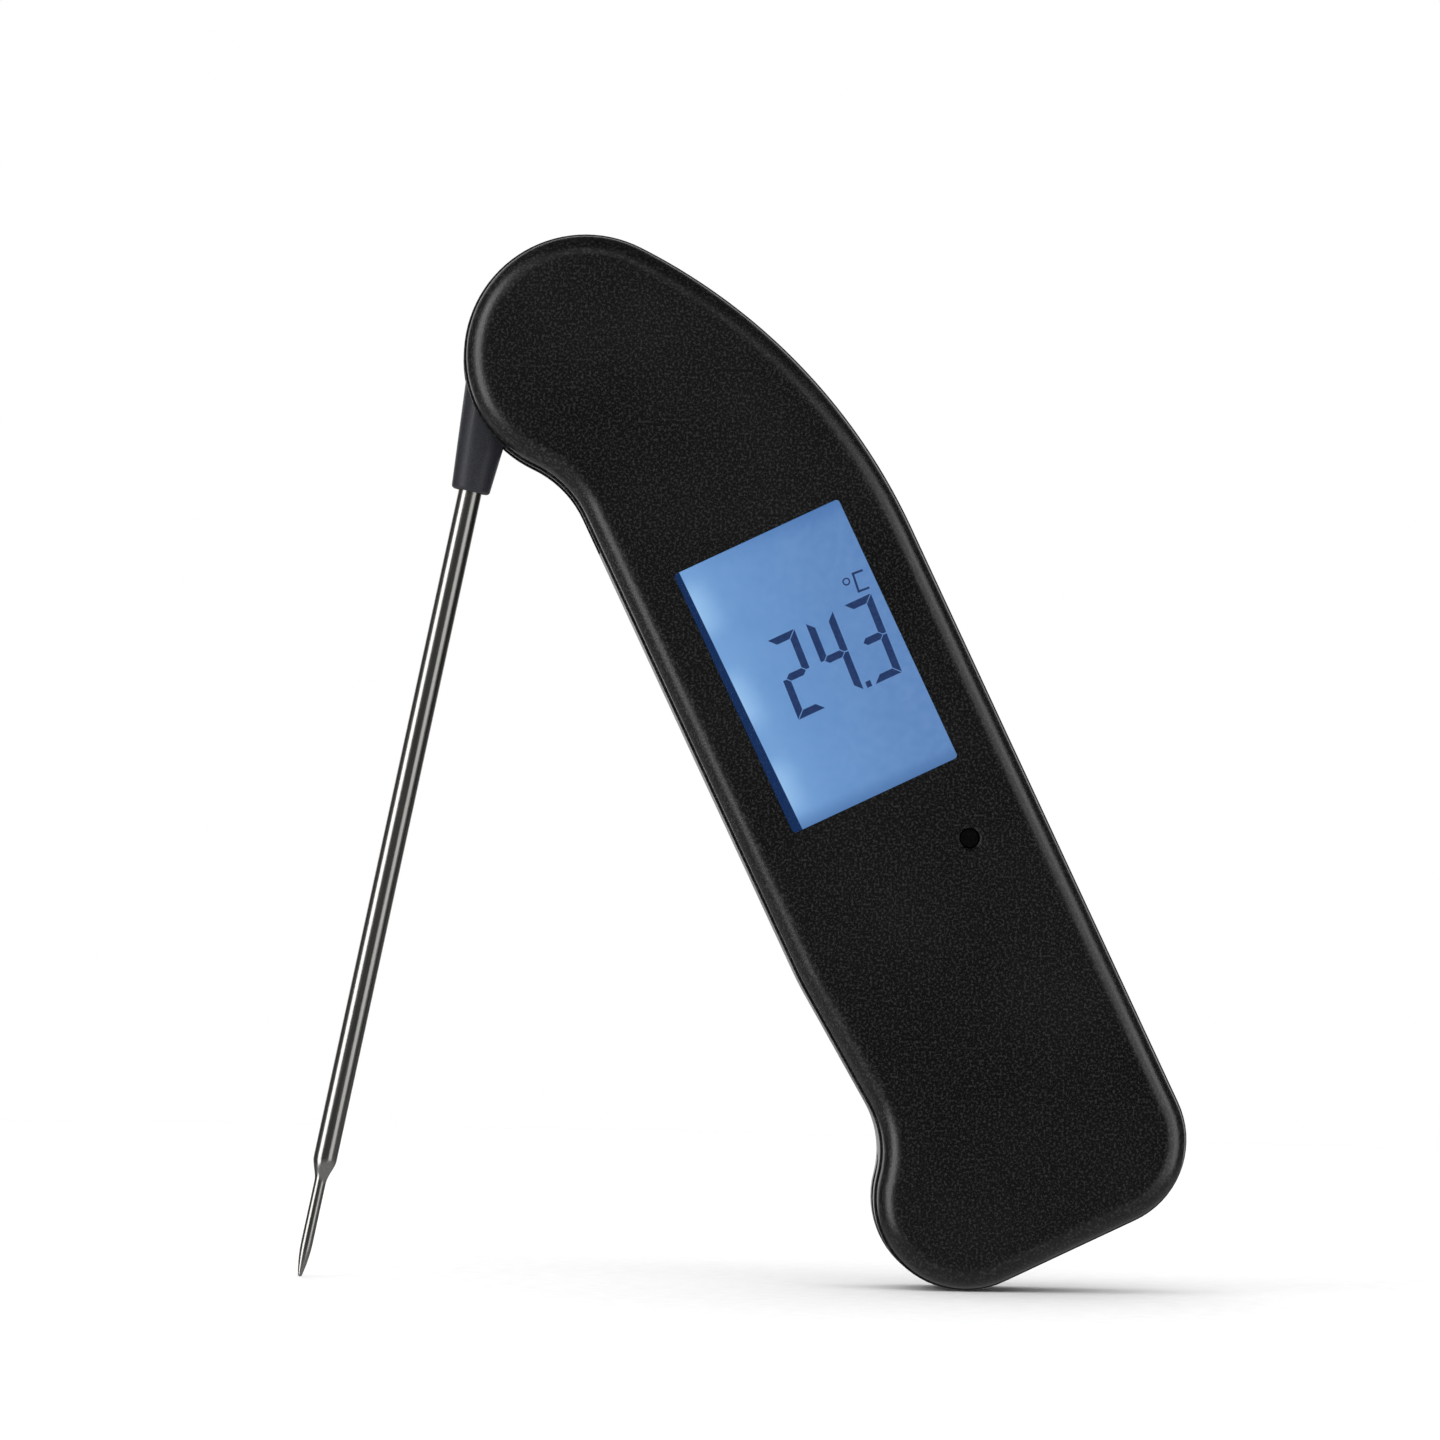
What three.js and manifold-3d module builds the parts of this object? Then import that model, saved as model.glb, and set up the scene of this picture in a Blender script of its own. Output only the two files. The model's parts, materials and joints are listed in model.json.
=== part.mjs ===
// Fold-out meat thermometer: a flat moulded case with a lit display and a steel probe on a friction pivot.
// Millimetres. Every piece is drawn in the case's own frame: the probe's pivot is the origin, x runs across
// the case to its right, y through it from the front face (-y) to the back (+y), and z up along it.
// The last group stands the thermometer on its foot and probe tip, as an A-frame, with +Z up.
import * as THREE from "three";
import { mergeVertices } from "three/addons/utils/BufferGeometryUtils.js";
import Module from "manifold-3d";

const wasm = await Module();
wasm.setup();

// ---------------------------------------------------------------- driving dimensions
const seat = 0.2; // gap left around every piece that seats in another
const running = 0.3; // gap around what turns

// case
const caseThickness = 19;
const headRadius = 16.5;
const sideRoom = 7.55; // between the window and either side of the case
const footRoom = 3.5; // between the battery cover and the foot's end
const shoulderRadius = 80;
const neckRadius = 14;
const waistUp = 49.6; // from the foot's end
const waistRadius = 40;
const waistTurn = 4.3;
const heelRadius = 12.8;
const footRadius = 12.4;
const footCentre = 1.4; // left of the pivot
const cornerRadius = 12;

// case shells
const caseWall = 2;
const edgeRadius = 3;
const bandWidth = 8.8; // the side band that stands proud at the seam
const bandProud = 0.35;
const channelWall = 2.55; // between the probe's channel and the inside
const pocketWall = 2; // between the probe's hub and the inside
const stemProud = 2.0; // how far the parked stem's axis lies outside the case's left side

// probe
const openAngle = 37.15; // how far the probe is folded out
const probeOffset = 11.4; // from the pivot to the stem's axis
const stemRadius = 1.6;
const stemBore = 1.2;
const tipRadius = 0.8;
const tipLength = 13.2;
const tipPoint = 4.7;
const swageLength = 3.1;
const pointRadius = 0.36;
const pointRoom = 7.5; // between the parked point and the foot's end
const sleeveReach = 21; // from the pivot to the sleeve's end
const sleeveTopRadius = 4.3; // at the pivot's level
const sleeveEndRadius = 2.65;
const leadRadius = 0.45;

// hub and pivot
const hubThickness = 6.6;
const hubInset = 0.5; // hub's rim below the case's lips
const bossRadius = 5.7;
const sealRadius = 10.9;
const sealSection = 0.8;
const slotStart = 8; // the open slot round the head, in degrees from +x
const slotEnd = 230.5;
const magnetRadius = 1.5;
const magnetDepth = 2;

// display
const windowWidth = 24.5;
const windowHeight = 38.4;
const windowTop = 31.8; // below the pivot
const windowShift = -0.1; // from the case's centre line
const windowCorner = 0.6;
const lensRim = 1.4;
const lensRimThickness = 0.8;
const lensSealThickness = 0.3;
const lcdMargin = 1;
const lcdThickness = 1.6;
const guideThickness = 1;
const frameWall = 0.8;
const boardThickness = 1.2;
const ledCount = 3;
const ledPitch = 13.3;

// light sensor
const sensorInset = 10.85; // from the case's right side
const sensorGap = 10.5; // below the window
const sensorHole = 1.4;

// battery: a size AAA cell
const cellRadius = 5.2;
const cellLength = 43.3;
const cellNub = 1;
const springLength = 3.8;
const trayWall = 1.2;
const trayGap = 5.5; // below the window
const cellGap = 0.3;
const switchLevers = 4;
const leverPitch = 2.1;
const leverTravel = 1.4;
const coverLip = 2.6; // beyond the tray on either side
const coverThickness = 1.3;
const coverRise = 17.1; // above the tray
const coverEnd = 3; // beyond its screws

// screws
const caseScrewRadius = 1.25;
const coverScrewRadius = 1;
const pivotScrewRadius = 1.5;
const insertWall = 0.5;
const insertLength = 5;

// ---------------------------------------------------------------- derived places
const face = caseThickness / 2;
const innerFace = face - caseWall;
const leftSide = probeOffset - stemProud;
const rightSide = windowWidth + 2 * sideRoom - leftSide;
const middle = (rightSide - leftSide) / 2; // the case's centre line
const lipRadius = headRadius - bandProud;
const hubRadius = lipRadius - hubInset;
const hubFace = hubThickness / 2;
const slotFace = hubFace + running;
const padFace = hubFace + 2 * sealSection + 2 * seat;
const hubBore = bossRadius + running;
const padBore = sealRadius - sealSection - 2 * seat;
const channelFloor = probeOffset - sleeveEndRadius - 2 * running;
const cavityLeft = channelFloor - channelWall;
const wellFloor = padFace + 2 * leadRadius + 3 * seat;
const sensorAcross = rightSide - sensorInset;
const sensorDown = windowTop + windowHeight + sensorGap;
const tray = {
  left: middle - cellRadius - cellGap,
  right: middle + cellRadius + cellGap,
  top: -windowTop - windowHeight - trayGap,
  cellY: face - coverThickness - 3 * seat - cellRadius,
};
tray.bottom = tray.top - cellLength - cellNub - springLength - 2.4;
const coverScrews = [
  { x: middle, z: tray.top + coverRise - 3 },
  { x: middle, z: tray.bottom - trayWall - 3.2 },
];
const cover = {
  half: cellRadius + cellGap + coverLip,
  top: tray.top + coverRise,
  bottom: coverScrews[1].z - coverEnd,
  floor: face - coverThickness - seat,
};
const footEnd = footRoom - cover.bottom;
const probeReach = footEnd - pointRoom; // from the pivot to the point
const rad = THREE.MathUtils.degToRad;

// ---------------------------------------------------------------- solids
// A closed geometry as a manifold-3d solid.
function solid(geometry) {
  geometry.deleteAttribute("normal");
  geometry.deleteAttribute("uv");
  const merged = mergeVertices(geometry, 1e-4);
  return new wasm.Manifold(
    new wasm.Mesh({
      numProp: 3,
      vertProperties: merged.attributes.position.array,
      triVerts: new Uint32Array(merged.index.array),
    }),
  );
}

function box(x0, x1, y0, y1, z0, z1) {
  const geometry = new THREE.BoxGeometry(x1 - x0, y1 - y0, z1 - z0);
  return solid(geometry.translate((x0 + x1) / 2, (y0 + y1) / 2, (z0 + z1) / 2));
}

// A cylinder or cone along y, at (x, z), from y0 to y1.
function round(x, z, y0, y1, r0, r1 = r0, sides = 20) {
  const geometry = new THREE.CylinderGeometry(r1, r0, y1 - y0, sides);
  return solid(geometry.translate(x, (y0 + y1) / 2, z));
}

// A flat shape in x and z, extruded from y0 to y1.
function plate(shape, y0, y1, curveSegments = 8) {
  const geometry = new THREE.ExtrudeGeometry(shape, {
    depth: y1 - y0,
    bevelEnabled: false,
    curveSegments,
  });
  return solid(geometry.rotateX(Math.PI / 2).translate(0, y1, 0));
}

// A profile of [radius, height] points turned about an upright axis at (x, y).
function turned(profile, x, y, sides = 14) {
  const points = profile.map(([r, h]) => new THREE.Vector2(r, h));
  const geometry = new THREE.LatheGeometry(points, sides);
  return solid(geometry.rotateX(Math.PI / 2).translate(x, y, 0));
}

// A round wire along a curve.
function wire(curve, radius, steps, sides = 8) {
  const section = new THREE.Shape().absarc(0, 0, radius, 0, 2 * Math.PI);
  return solid(
    new THREE.ExtrudeGeometry(section, {
      extrudePath: curve,
      steps,
      curveSegments: sides,
      bevelEnabled: false,
    }),
  );
}

function roundedRectangle(x0, x1, z0, z1, r) {
  const shape = new THREE.Shape();
  shape.absarc(x1 - r, z0 + r, r, -Math.PI / 2, 0);
  shape.absarc(x1 - r, z1 - r, r, 0, Math.PI / 2);
  shape.absarc(x0 + r, z1 - r, r, Math.PI / 2, Math.PI);
  shape.absarc(x0 + r, z0 + r, r, Math.PI, 1.5 * Math.PI);
  return shape;
}

// ---------------------------------------------------------------- case outline
// Points of an arc; a negative turn runs clockwise, round a centre outside the case.
function arc(x, z, radius, from, to, steps) {
  return Array.from({ length: steps + 1 }, (_, i) => {
    const a = rad(from + ((to - from) * i) / steps);
    return new THREE.Vector2(x + radius * Math.cos(a), z + radius * Math.sin(a));
  });
}

const shoulder = {
  x: rightSide - shoulderRadius,
  z: -Math.sqrt((shoulderRadius - headRadius) ** 2 - (shoulderRadius - rightSide) ** 2),
};
const shoulderTurn = THREE.MathUtils.radToDeg(Math.atan2(-shoulder.z, -shoulder.x));
const neck = {
  x: -leftSide - neckRadius,
  z: -Math.sqrt((headRadius + neckRadius) ** 2 - (leftSide + neckRadius) ** 2),
};
const neckTurn = THREE.MathUtils.radToDeg(Math.atan2(-neck.z, -neck.x));
const foot = { x: -footCentre, z: -footEnd + footRadius };
const corner = { x: rightSide - cornerRadius, z: -footEnd + cornerRadius };
const waist = { x: waistRadius - leftSide, z: waistUp - footEnd };
const heel = heelCentre();
const heelTurn = THREE.MathUtils.radToDeg(Math.atan2(foot.z - heel.z, foot.x - heel.x));

// The heel's hollow touches the slanted side below the waist and the round of the foot.
function heelCentre() {
  const normal = { x: -Math.cos(rad(waistTurn)), z: -Math.sin(rad(waistTurn)) };
  const down = { x: -normal.z, z: normal.x };
  const startX = waist.x + (waistRadius + heelRadius) * normal.x - foot.x;
  const startZ = waist.z + (waistRadius + heelRadius) * normal.z - foot.z;
  const along = startX * down.x + startZ * down.z;
  const span = (heelRadius + footRadius) ** 2 - startX ** 2 - startZ ** 2 + along ** 2;
  const t = -along - Math.sqrt(span);
  return { x: startX + t * down.x + foot.x, z: startZ + t * down.z + foot.z };
}

// The case's outline, anticlockwise from the front, moved outwards by grow.
function outline(grow) {
  return [
    ...arc(corner.x, corner.z, cornerRadius + grow, -90, 0, 5),
    ...arc(shoulder.x, shoulder.z, shoulderRadius + grow, 0, shoulderTurn, 5),
    ...arc(0, 0, headRadius + grow, shoulderTurn, 180 + neckTurn, 18).slice(1),
    ...arc(neck.x, neck.z, neckRadius - grow, neckTurn, 0, 4).slice(1),
    ...arc(waist.x, waist.z, waistRadius + grow, 180, 180 + waistTurn, 1),
    ...arc(heel.x, heel.z, heelRadius - grow, waistTurn, heelTurn, 4),
    ...arc(foot.x, foot.z, footRadius + grow, 180 + heelTurn, 270, 7).slice(1),
  ];
}

// A solid through rings of the outline, each ring [y, grow], from the front to the back.
function slab(rings) {
  const loops = rings.map(([y, grow]) => outline(grow).map((p) => [p.x, y, p.y]));
  const count = loops[0].length;
  const index = [];
  const cap = (ring, turn) => {
    const flat = loops[ring].map((p) => new THREE.Vector2(p[0], p[2]));
    for (const [a, b, c] of THREE.ShapeUtils.triangulateShape(flat, [])) {
      index.push(...(turn ? [c, b, a] : [a, b, c]).map((i) => ring * count + i));
    }
  };
  cap(0, false);
  cap(loops.length - 1, true);
  for (let ring = 0; ring + 1 < loops.length; ring++) {
    for (let i = 0; i < count; i++) {
      const a = ring * count + i;
      const b = ring * count + ((i + 1) % count);
      index.push(a, a + count, b, b, a + count, b + count);
    }
  }
  const geometry = new THREE.BufferGeometry();
  geometry.setAttribute("position", new THREE.Float32BufferAttribute(loops.flat(2), 3));
  geometry.setIndex(index);
  return solid(geometry);
}

// The rings of the front half: the proud band at the seam, the side, then the rounded edge.
function halfRings() {
  const side = face - edgeRadius;
  const band = bandWidth / 2;
  const rounding = arc(0, 0, edgeRadius, 90, 0, 3).map((p) => [
    -side - p.y,
    -bandProud - edgeRadius + p.x,
  ]);
  return [...rounding, [-band - bandProud, -bandProud], [-band, 0], [-seat / 2, 0]];
}

const frontHalf = () => slab(halfRings());
const backHalf = () =>
  slab(
    halfRings()
      .reverse()
      .map(([y, grow]) => [-y, grow]),
  );

// The room inside the case, apart from the probe's channel and the hub's pocket.
function cavity(y0, y1, grow = 0) {
  const inside = slab([
    [y0, grow - caseWall],
    [y1, grow - caseWall],
  ]);
  const left = -cavityLeft - grow;
  const hubWall = lipRadius + pocketWall - grow;
  return inside
    .intersect(box(left, rightSide, y0, y1, -footEnd, headRadius))
    .subtract(round(0, 0, y0, y1, hubWall, hubWall, 32));
}

// What the folding probe sweeps and parks in: the slot round the head, the hub's pocket,
// the sleeve's groove, and the stem's channel down to the slot in the foot.
function probeRoom() {
  const slot = new THREE.Shape().moveTo(0, 0);
  slot.absarc(0, 0, headRadius * 1.5, rad(slotStart), rad(slotEnd)).closePath();
  const outside = -2 * headRadius;
  const grooveTop = probeOffset - sleeveTopRadius - 2 * running;
  const grooveEnd = -sleeveReach - sleeveEndRadius - 4 * running;
  const groove = new THREE.Shape().moveTo(outside, 0).lineTo(outside, grooveEnd);
  groove.lineTo(-channelFloor, grooveEnd).lineTo(-channelFloor, -sleeveReach);
  groove.lineTo(-grooveTop, 0).closePath();
  const channel = stemRadius + running;
  const parkEnd = -probeReach - 4 * running;
  const bar = new THREE.CylinderGeometry(channel, channel, -parkEnd, 12);
  bar.rotateX(Math.PI / 2).translate(-probeOffset, 0, parkEnd / 2);
  return round(0, 0, -slotFace, slotFace, lipRadius, lipRadius, 36)
    .add(plate(slot, -slotFace, slotFace, 6))
    .add(plate(groove, -slotFace, slotFace))
    .add(solid(bar))
    .add(box(outside, -probeOffset, -channel, channel, parkEnd, 0));
}

// The recess beside the hub: its ring-shaped floor carries the hub's seal.
function sealPad(side) {
  const [y0, y1] = side < 0 ? [-padFace, -slotFace + seat] : [slotFace - seat, padFace];
  return round(0, 0, y0, y1, hubRadius - 2 * running, hubRadius - 2 * running, 32);
}

// The well round the pivot boss in front of the hub, for the lead's service loop.
const leadWell = () => round(0, 0, -wellFloor, -padFace + seat, padBore, padBore, 24);

function sealGroove(y0, y1) {
  return cavity(y0, y1, 1.2 + seat / 2).subtract(cavity(y0, y1, 0.4 - seat / 2));
}

// ---------------------------------------------------------------- display stack, front to back
const display = {
  left: middle + windowShift - windowWidth / 2,
  right: middle + windowShift + windowWidth / 2,
  top: -windowTop,
  bottom: -windowTop - windowHeight,
};
const lensFront = -face + seat;
const lensSealFront = -innerFace + seat / 2;
const lensRimFront = lensSealFront + lensSealThickness + seat / 2;
const lcdFront = lensRimFront + lensRimThickness + seat;
const guideFront = lcdFront + lcdThickness + seat;
const boardFront = guideFront + guideThickness + 1;
const boardBack = boardFront + boardThickness;

// A plate that covers the window with a margin.
function pane(margin, y0, y1, radius = windowCorner + Math.max(margin, -windowCorner / 2)) {
  const { left, right, top, bottom } = display;
  return plate(
    roundedRectangle(left - margin, right + margin, bottom - margin, top + margin, radius),
    y0,
    y1,
    3,
  );
}

const displayLens = () =>
  pane(-seat, lensFront, lensRimFront + seat).add(
    pane(lensRim, lensRimFront, lensRimFront + lensRimThickness, windowCorner),
  );

const lensSeal = () =>
  pane(lensRim, lensSealFront, lensSealFront + lensSealThickness, windowCorner).subtract(
    pane(0, -face, 0),
  );

const lcdGlass = () => pane(lcdMargin, lcdFront, lcdFront + lcdThickness, 0.2);

const zebraStrip = () => {
  const z = display.bottom - lcdMargin + seat;
  return box(display.left, display.right, guideFront, boardFront - seat, z, z + 1.6);
};

const lightGuide = () =>
  box(
    display.left - lcdMargin + 1.4,
    display.right + lcdMargin - seat,
    guideFront,
    guideFront + guideThickness,
    display.bottom + 1.4,
    display.top + lcdMargin - seat,
  );

const lcdFrame = () =>
  pane(lcdMargin + seat + frameWall, lcdFront, boardFront - seat, windowCorner).subtract(
    pane(lcdMargin + seat, -face, 0, 0.3),
  );

const ledRow = (i) => (display.top + display.bottom) / 2 + (i - (ledCount - 1) / 2) * ledPitch;

function backlightLed(i) {
  const x = display.left - lcdMargin + seat;
  const z = ledRow(i);
  return box(x, x + 0.9, boardFront - seat - 1.4, boardFront - seat, z - 1.1, z + 1.1);
}

// ---------------------------------------------------------------- board and its parts
const coverBoss = coverScrewRadius + insertWall + 1.2;
const boardBottom = tray.top + trayWall + 3 * seat;
const stripLeft = tray.right + trayWall + 2 * seat;

// The board follows the inside of the case, with a tongue up to the hub and a strip down past the tray.
function mainBoard() {
  const y0 = boardFront;
  const y1 = boardBack;
  return box(-cavityLeft + 2 * seat, rightSide, y0, y1, boardBottom, display.top + 3.4)
    .add(box(stripLeft, rightSide, y0, y1, -sensorDown - 9, boardBottom + 2))
    .add(box(3.5, 15.5, y0, y1, display.top, -lipRadius - pocketWall - 2))
    .intersect(cavity(y0, y1, -2 * seat))
    .subtract(round(coverScrews[0].x, coverScrews[0].z, y0 - 1, y1 + 1, coverBoss + 2 * seat));
}

function chip(x, z, width, height, thickness) {
  const y0 = boardBack + seat;
  return box(x - width / 2, x + width / 2, y0, y0 + thickness, z - height / 2, z + height / 2);
}

const lightSensor = () => {
  const y1 = boardFront - seat;
  return box(sensorAcross - 1, sensorAcross + 1, y1 - 0.8, y1, -sensorDown - 1, -sensorDown + 1);
};

const lightPipe = () => {
  const y1 = boardFront - 2 * seat - 0.8;
  const radius = sensorHole - seat;
  return round(sensorAcross, -sensorDown, -face + 0.8, y1, radius, radius, 16).add(
    round(sensorAcross, -sensorDown, -innerFace + seat, -innerFace + 1, radius + 0.9, radius + 0.9, 16),
  );
};

// The lead from the probe to the board: a service loop round the pivot boss, then out of the well
// through its tunnel.
const leadExit = -58;
const leadStart = 122;
const leadDepth = -padFace - leadRadius - seat;
const loopRadius = (bossRadius + padBore) / 2;

function aroundPivot(radius, angle, y) {
  return new THREE.Vector3(radius * Math.cos(rad(angle)), y, radius * Math.sin(rad(angle)));
}

function boardLead() {
  const loop = [];
  const last = leadExit - 26 + 720;
  const steps = 18;
  for (let i = 0; i <= steps; i++) {
    const share = i / steps;
    const y = THREE.MathUtils.lerp(-hubFace - 1, leadDepth, Math.min(1, share * 1.1));
    loop.push(aroundPivot(loopRadius, THREE.MathUtils.lerp(leadStart, last, share), y));
  }
  const out = lipRadius + pocketWall;
  const curve = new THREE.CatmullRomCurve3(
    [
      ...loop,
      aroundPivot(padBore + 1.2, leadExit, leadDepth),
      aroundPivot(out, leadExit, leadDepth),
      aroundPivot(out + 3, leadExit, leadDepth),
      aroundPivot(out + 6, leadExit, boardFront - 1),
    ],
    false,
    "centripetal",
  );
  return wire(curve, leadRadius, 36, 3);
}

// The tunnel that takes the lead from its well into the case.
function leadTunnel() {
  const reach = lipRadius + pocketWall + 8 - padBore;
  const geometry = new THREE.BoxGeometry(reach, 2 * (leadRadius + 1.5 * seat), 3.2);
  geometry.translate(padBore - 2 + reach / 2, leadDepth, 0).rotateY(-rad(leadExit));
  return solid(geometry);
}

// ---------------------------------------------------------------- screws
const screwBoss = caseScrewRadius + insertWall + 1.1;
const caseScrews = [
  { x: 20.5, z: -20 },
  { x: screwBoss + 0.85 - cavityLeft, z: foot.z - 1.6 },
  { x: corner.x + 5, z: corner.z - 2 },
];

// A countersunk screw along y with its cross-recessed head at the back, just under y = top.
function screw({ x, z }, radius, top, tip) {
  const headHeight = radius * 1.1;
  const arm = radius * 1.15;
  const width = radius * 0.22;
  return round(x, z, top - headHeight, top, radius, radius * 1.9, 12)
    .add(round(x, z, tip, top - headHeight + 0.1, radius, radius, 12))
    .subtract(box(x - arm, x + arm, top - radius * 0.7, top + 1, z - width, z + width))
    .subtract(box(x - width, x + width, top - radius * 0.7, top + 1, z - arm, z + arm));
}

// The countersunk clearance hole for that screw, open at the back.
function screwHole({ x, z }, radius, top, end) {
  const headHeight = radius * 1.1;
  return round(x, z, top - headHeight - seat, top + seat, radius + seat, radius * 1.9 + 2 * seat, 16)
    .add(round(x, z, top, top + 3, radius * 1.9 + seat, radius * 1.9 + seat, 16))
    .add(round(x, z, end, top, radius + seat, radius + seat, 12));
}

function insert({ x, z }, radius, y0, y1) {
  const bore = radius + seat / 2;
  return round(x, z, y0, y1, bore + insertWall, bore + insertWall, 12).subtract(
    round(x, z, y0 - 1, y1 + 1, bore, bore, 12),
  );
}

const insertHole = ({ x, z }, radius, y0, y1) =>
  round(x, z, y0, y1, radius + insertWall + 1.5 * seat, radius + insertWall + 1.5 * seat, 12);

const pivot = { x: 0, z: 0 };
const screwTop = face - 0.25;
const insertBack = -seat / 2 - 2 * seat;
const insertFront = insertBack - insertLength;
const screwTip = insertFront + 0.6;
const coverInsertBack = face - coverThickness - 4 * seat;

// ---------------------------------------------------------------- battery cover and tray
function coverPlate(grow, y0, y1) {
  const { half, top, bottom } = cover;
  const shape = roundedRectangle(
    middle - half - grow,
    middle + half + grow,
    bottom - grow,
    top + grow,
    half * 0.7 + grow,
  );
  return plate(shape, y0, y1, 6);
}

const switchTop = tray.top + trayWall + 8.4;
const switchFloor = boardBack + 4;

// A plate round the tray's opening, for the cover's rim and its seal.
function trayOpening(grow, y0, y1) {
  const shape = roundedRectangle(
    tray.left - grow,
    tray.right + grow,
    tray.bottom - grow,
    switchTop + grow,
    1 + Math.max(grow, 0),
  );
  return plate(shape, y0, y1, 3);
}

const coverSealWidth = 0.8;
const coverSealDepth = 0.7;
const coverSealAt = 0.7;

const coverSeal = () =>
  trayOpening(coverSealAt + coverSealWidth, cover.floor - coverSealDepth, cover.floor).subtract(
    trayOpening(coverSealAt, 0, face),
  );

const coverSealGroove = () =>
  trayOpening(coverSealAt + coverSealWidth + seat, cover.floor - coverSealDepth - seat, face).subtract(
    trayOpening(coverSealAt - seat, 0, face),
  );

function batteryCover() {
  const rim = trayOpening(-seat, cover.floor - 0.6, cover.floor + seat + 0.1).subtract(
    trayOpening(-seat - 1.1, 0, face),
  );
  return coverScrews.reduce(
    (made, at) => made.subtract(screwHole(at, coverScrewRadius, screwTop, 0)),
    coverPlate(-seat, cover.floor + seat, face).add(rim),
  );
}

function trayShell() {
  const { left, right, top, bottom, cellY } = tray;
  const floor = cellY - cellRadius - seat - trayWall;
  return box(left - trayWall, right + trayWall, floor, innerFace + 0.1, bottom - trayWall, top + trayWall)
    .add(
      box(
        left - trayWall,
        right + trayWall,
        switchFloor - trayWall,
        innerFace + 0.1,
        top,
        switchTop + trayWall,
      ),
    )
    .add(coverPlate(1.2, cover.floor - 1.9, innerFace + 0.1));
}

function trayRoom() {
  const { left, right, top, bottom, cellY } = tray;
  return box(left, right, cellY - cellRadius - seat, face, bottom, top)
    .add(box(left, right, switchFloor, face, top - 1, switchTop))
    .add(coverPlate(0, cover.floor, face + 1))
    .add(coverSealGroove())
    .add(switchBlockBody(seat));
}

// ---------------------------------------------------------------- setting switches
const switchBlock = {
  left: middle - (switchLevers * leverPitch) / 2 - 0.4,
  right: middle + (switchLevers * leverPitch) / 2 + 0.4,
  bottom: tray.top + trayWall + 1.4,
  top: tray.top + trayWall + 6.4,
  back: switchFloor + 0.1,
};
const lever = { width: 0.8, length: 1.3, height: 2 };

const leverAcross = (i) => middle + (i - (switchLevers - 1) / 2) * leverPitch;
const leverMiddle = (switchBlock.top + switchBlock.bottom) / 2;

function switchBlockBody(grow) {
  const { left, right, bottom, top, back } = switchBlock;
  return box(left - grow, right + grow, boardBack + seat, back, bottom - grow, top + grow);
}

function dipBlock() {
  const half = (lever.length + leverTravel) / 2 + seat;
  let made = switchBlockBody(0);
  for (let i = 0; i < switchLevers; i++) {
    const x = leverAcross(i);
    const w = lever.width / 2 + seat;
    const floor = switchBlock.back - 1.2;
    made = made.subtract(
      box(x - w, x + w, floor, switchBlock.back + 1, leverMiddle - half, leverMiddle + half),
    );
  }
  return made;
}

function dipLever(i) {
  const x = leverAcross(i);
  const w = lever.width / 2;
  const y0 = switchBlock.back - 1.2 + seat;
  const z1 = leverMiddle + (lever.length + leverTravel) / 2;
  return box(x - w, x + w, y0, y0 + lever.height, z1 - lever.length, z1);
}

// ---------------------------------------------------------------- battery
const cellTop = tray.top - 1.2;

function batteryCell() {
  const bottom = cellTop - cellNub - cellLength;
  const profile = [
    [0, bottom],
    [cellRadius - 0.3, bottom],
    [cellRadius, bottom + 0.4],
    [cellRadius, cellTop - cellNub - 0.4],
    [cellRadius - 0.6, cellTop - cellNub],
    [1.9, cellTop - cellNub],
    [1.8, cellTop],
    [0, cellTop],
  ];
  return turned(profile, middle, tray.cellY, 16);
}

const plusContact = () => {
  const z = tray.top - 0.9;
  return box(middle - 4, middle + 4, tray.cellY - 4, tray.cellY + 4.2, z, z + 0.4);
};

class ConicalSpring extends THREE.Curve {
  getPoint(t) {
    const turns = 3.2;
    const radius = THREE.MathUtils.lerp(4.1, 2.4, t);
    const a = 2 * Math.PI * turns * t;
    const start = tray.bottom + 0.7;
    const z = THREE.MathUtils.lerp(start, start + springLength - 0.6, t);
    return new THREE.Vector3(
      middle + radius * Math.cos(a),
      tray.cellY + radius * Math.sin(a),
      z,
    );
  }
}

const minusSpring = () => wire(new ConicalSpring(), 0.32, 32, 3);

// ---------------------------------------------------------------- case shells
function frontCase() {
  const inserts = caseScrews.map((at) => insertHole(at, caseScrewRadius, insertFront - seat, 1));
  const bosses = caseScrews.map((at) =>
    round(at.x, at.z, -innerFace - 0.1, -seat / 2, screwBoss, screwBoss, 14),
  );
  let made = frontHalf()
    .subtract(cavity(-innerFace, face))
    .subtract(sealGroove(-0.6 - seat / 2, 1))
    .subtract(sealPad(-1))
    .subtract(leadWell())
    .add(round(0, 0, -wellFloor - 0.1, -seat / 2, bossRadius, bossRadius, 24));
  for (const boss of bosses) made = made.add(boss);
  for (const hole of inserts) made = made.subtract(hole);
  return made
    .subtract(insertHole(pivot, pivotScrewRadius, insertFront - seat, 1))
    .subtract(probeRoom().subtract(round(0, 0, -face, face, bossRadius)))
    .subtract(leadTunnel())
    .subtract(pane(0, -face - 1, 0))
    .subtract(round(sensorAcross, -sensorDown, -face - 1, 0, sensorHole, sensorHole, 16));
}

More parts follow.
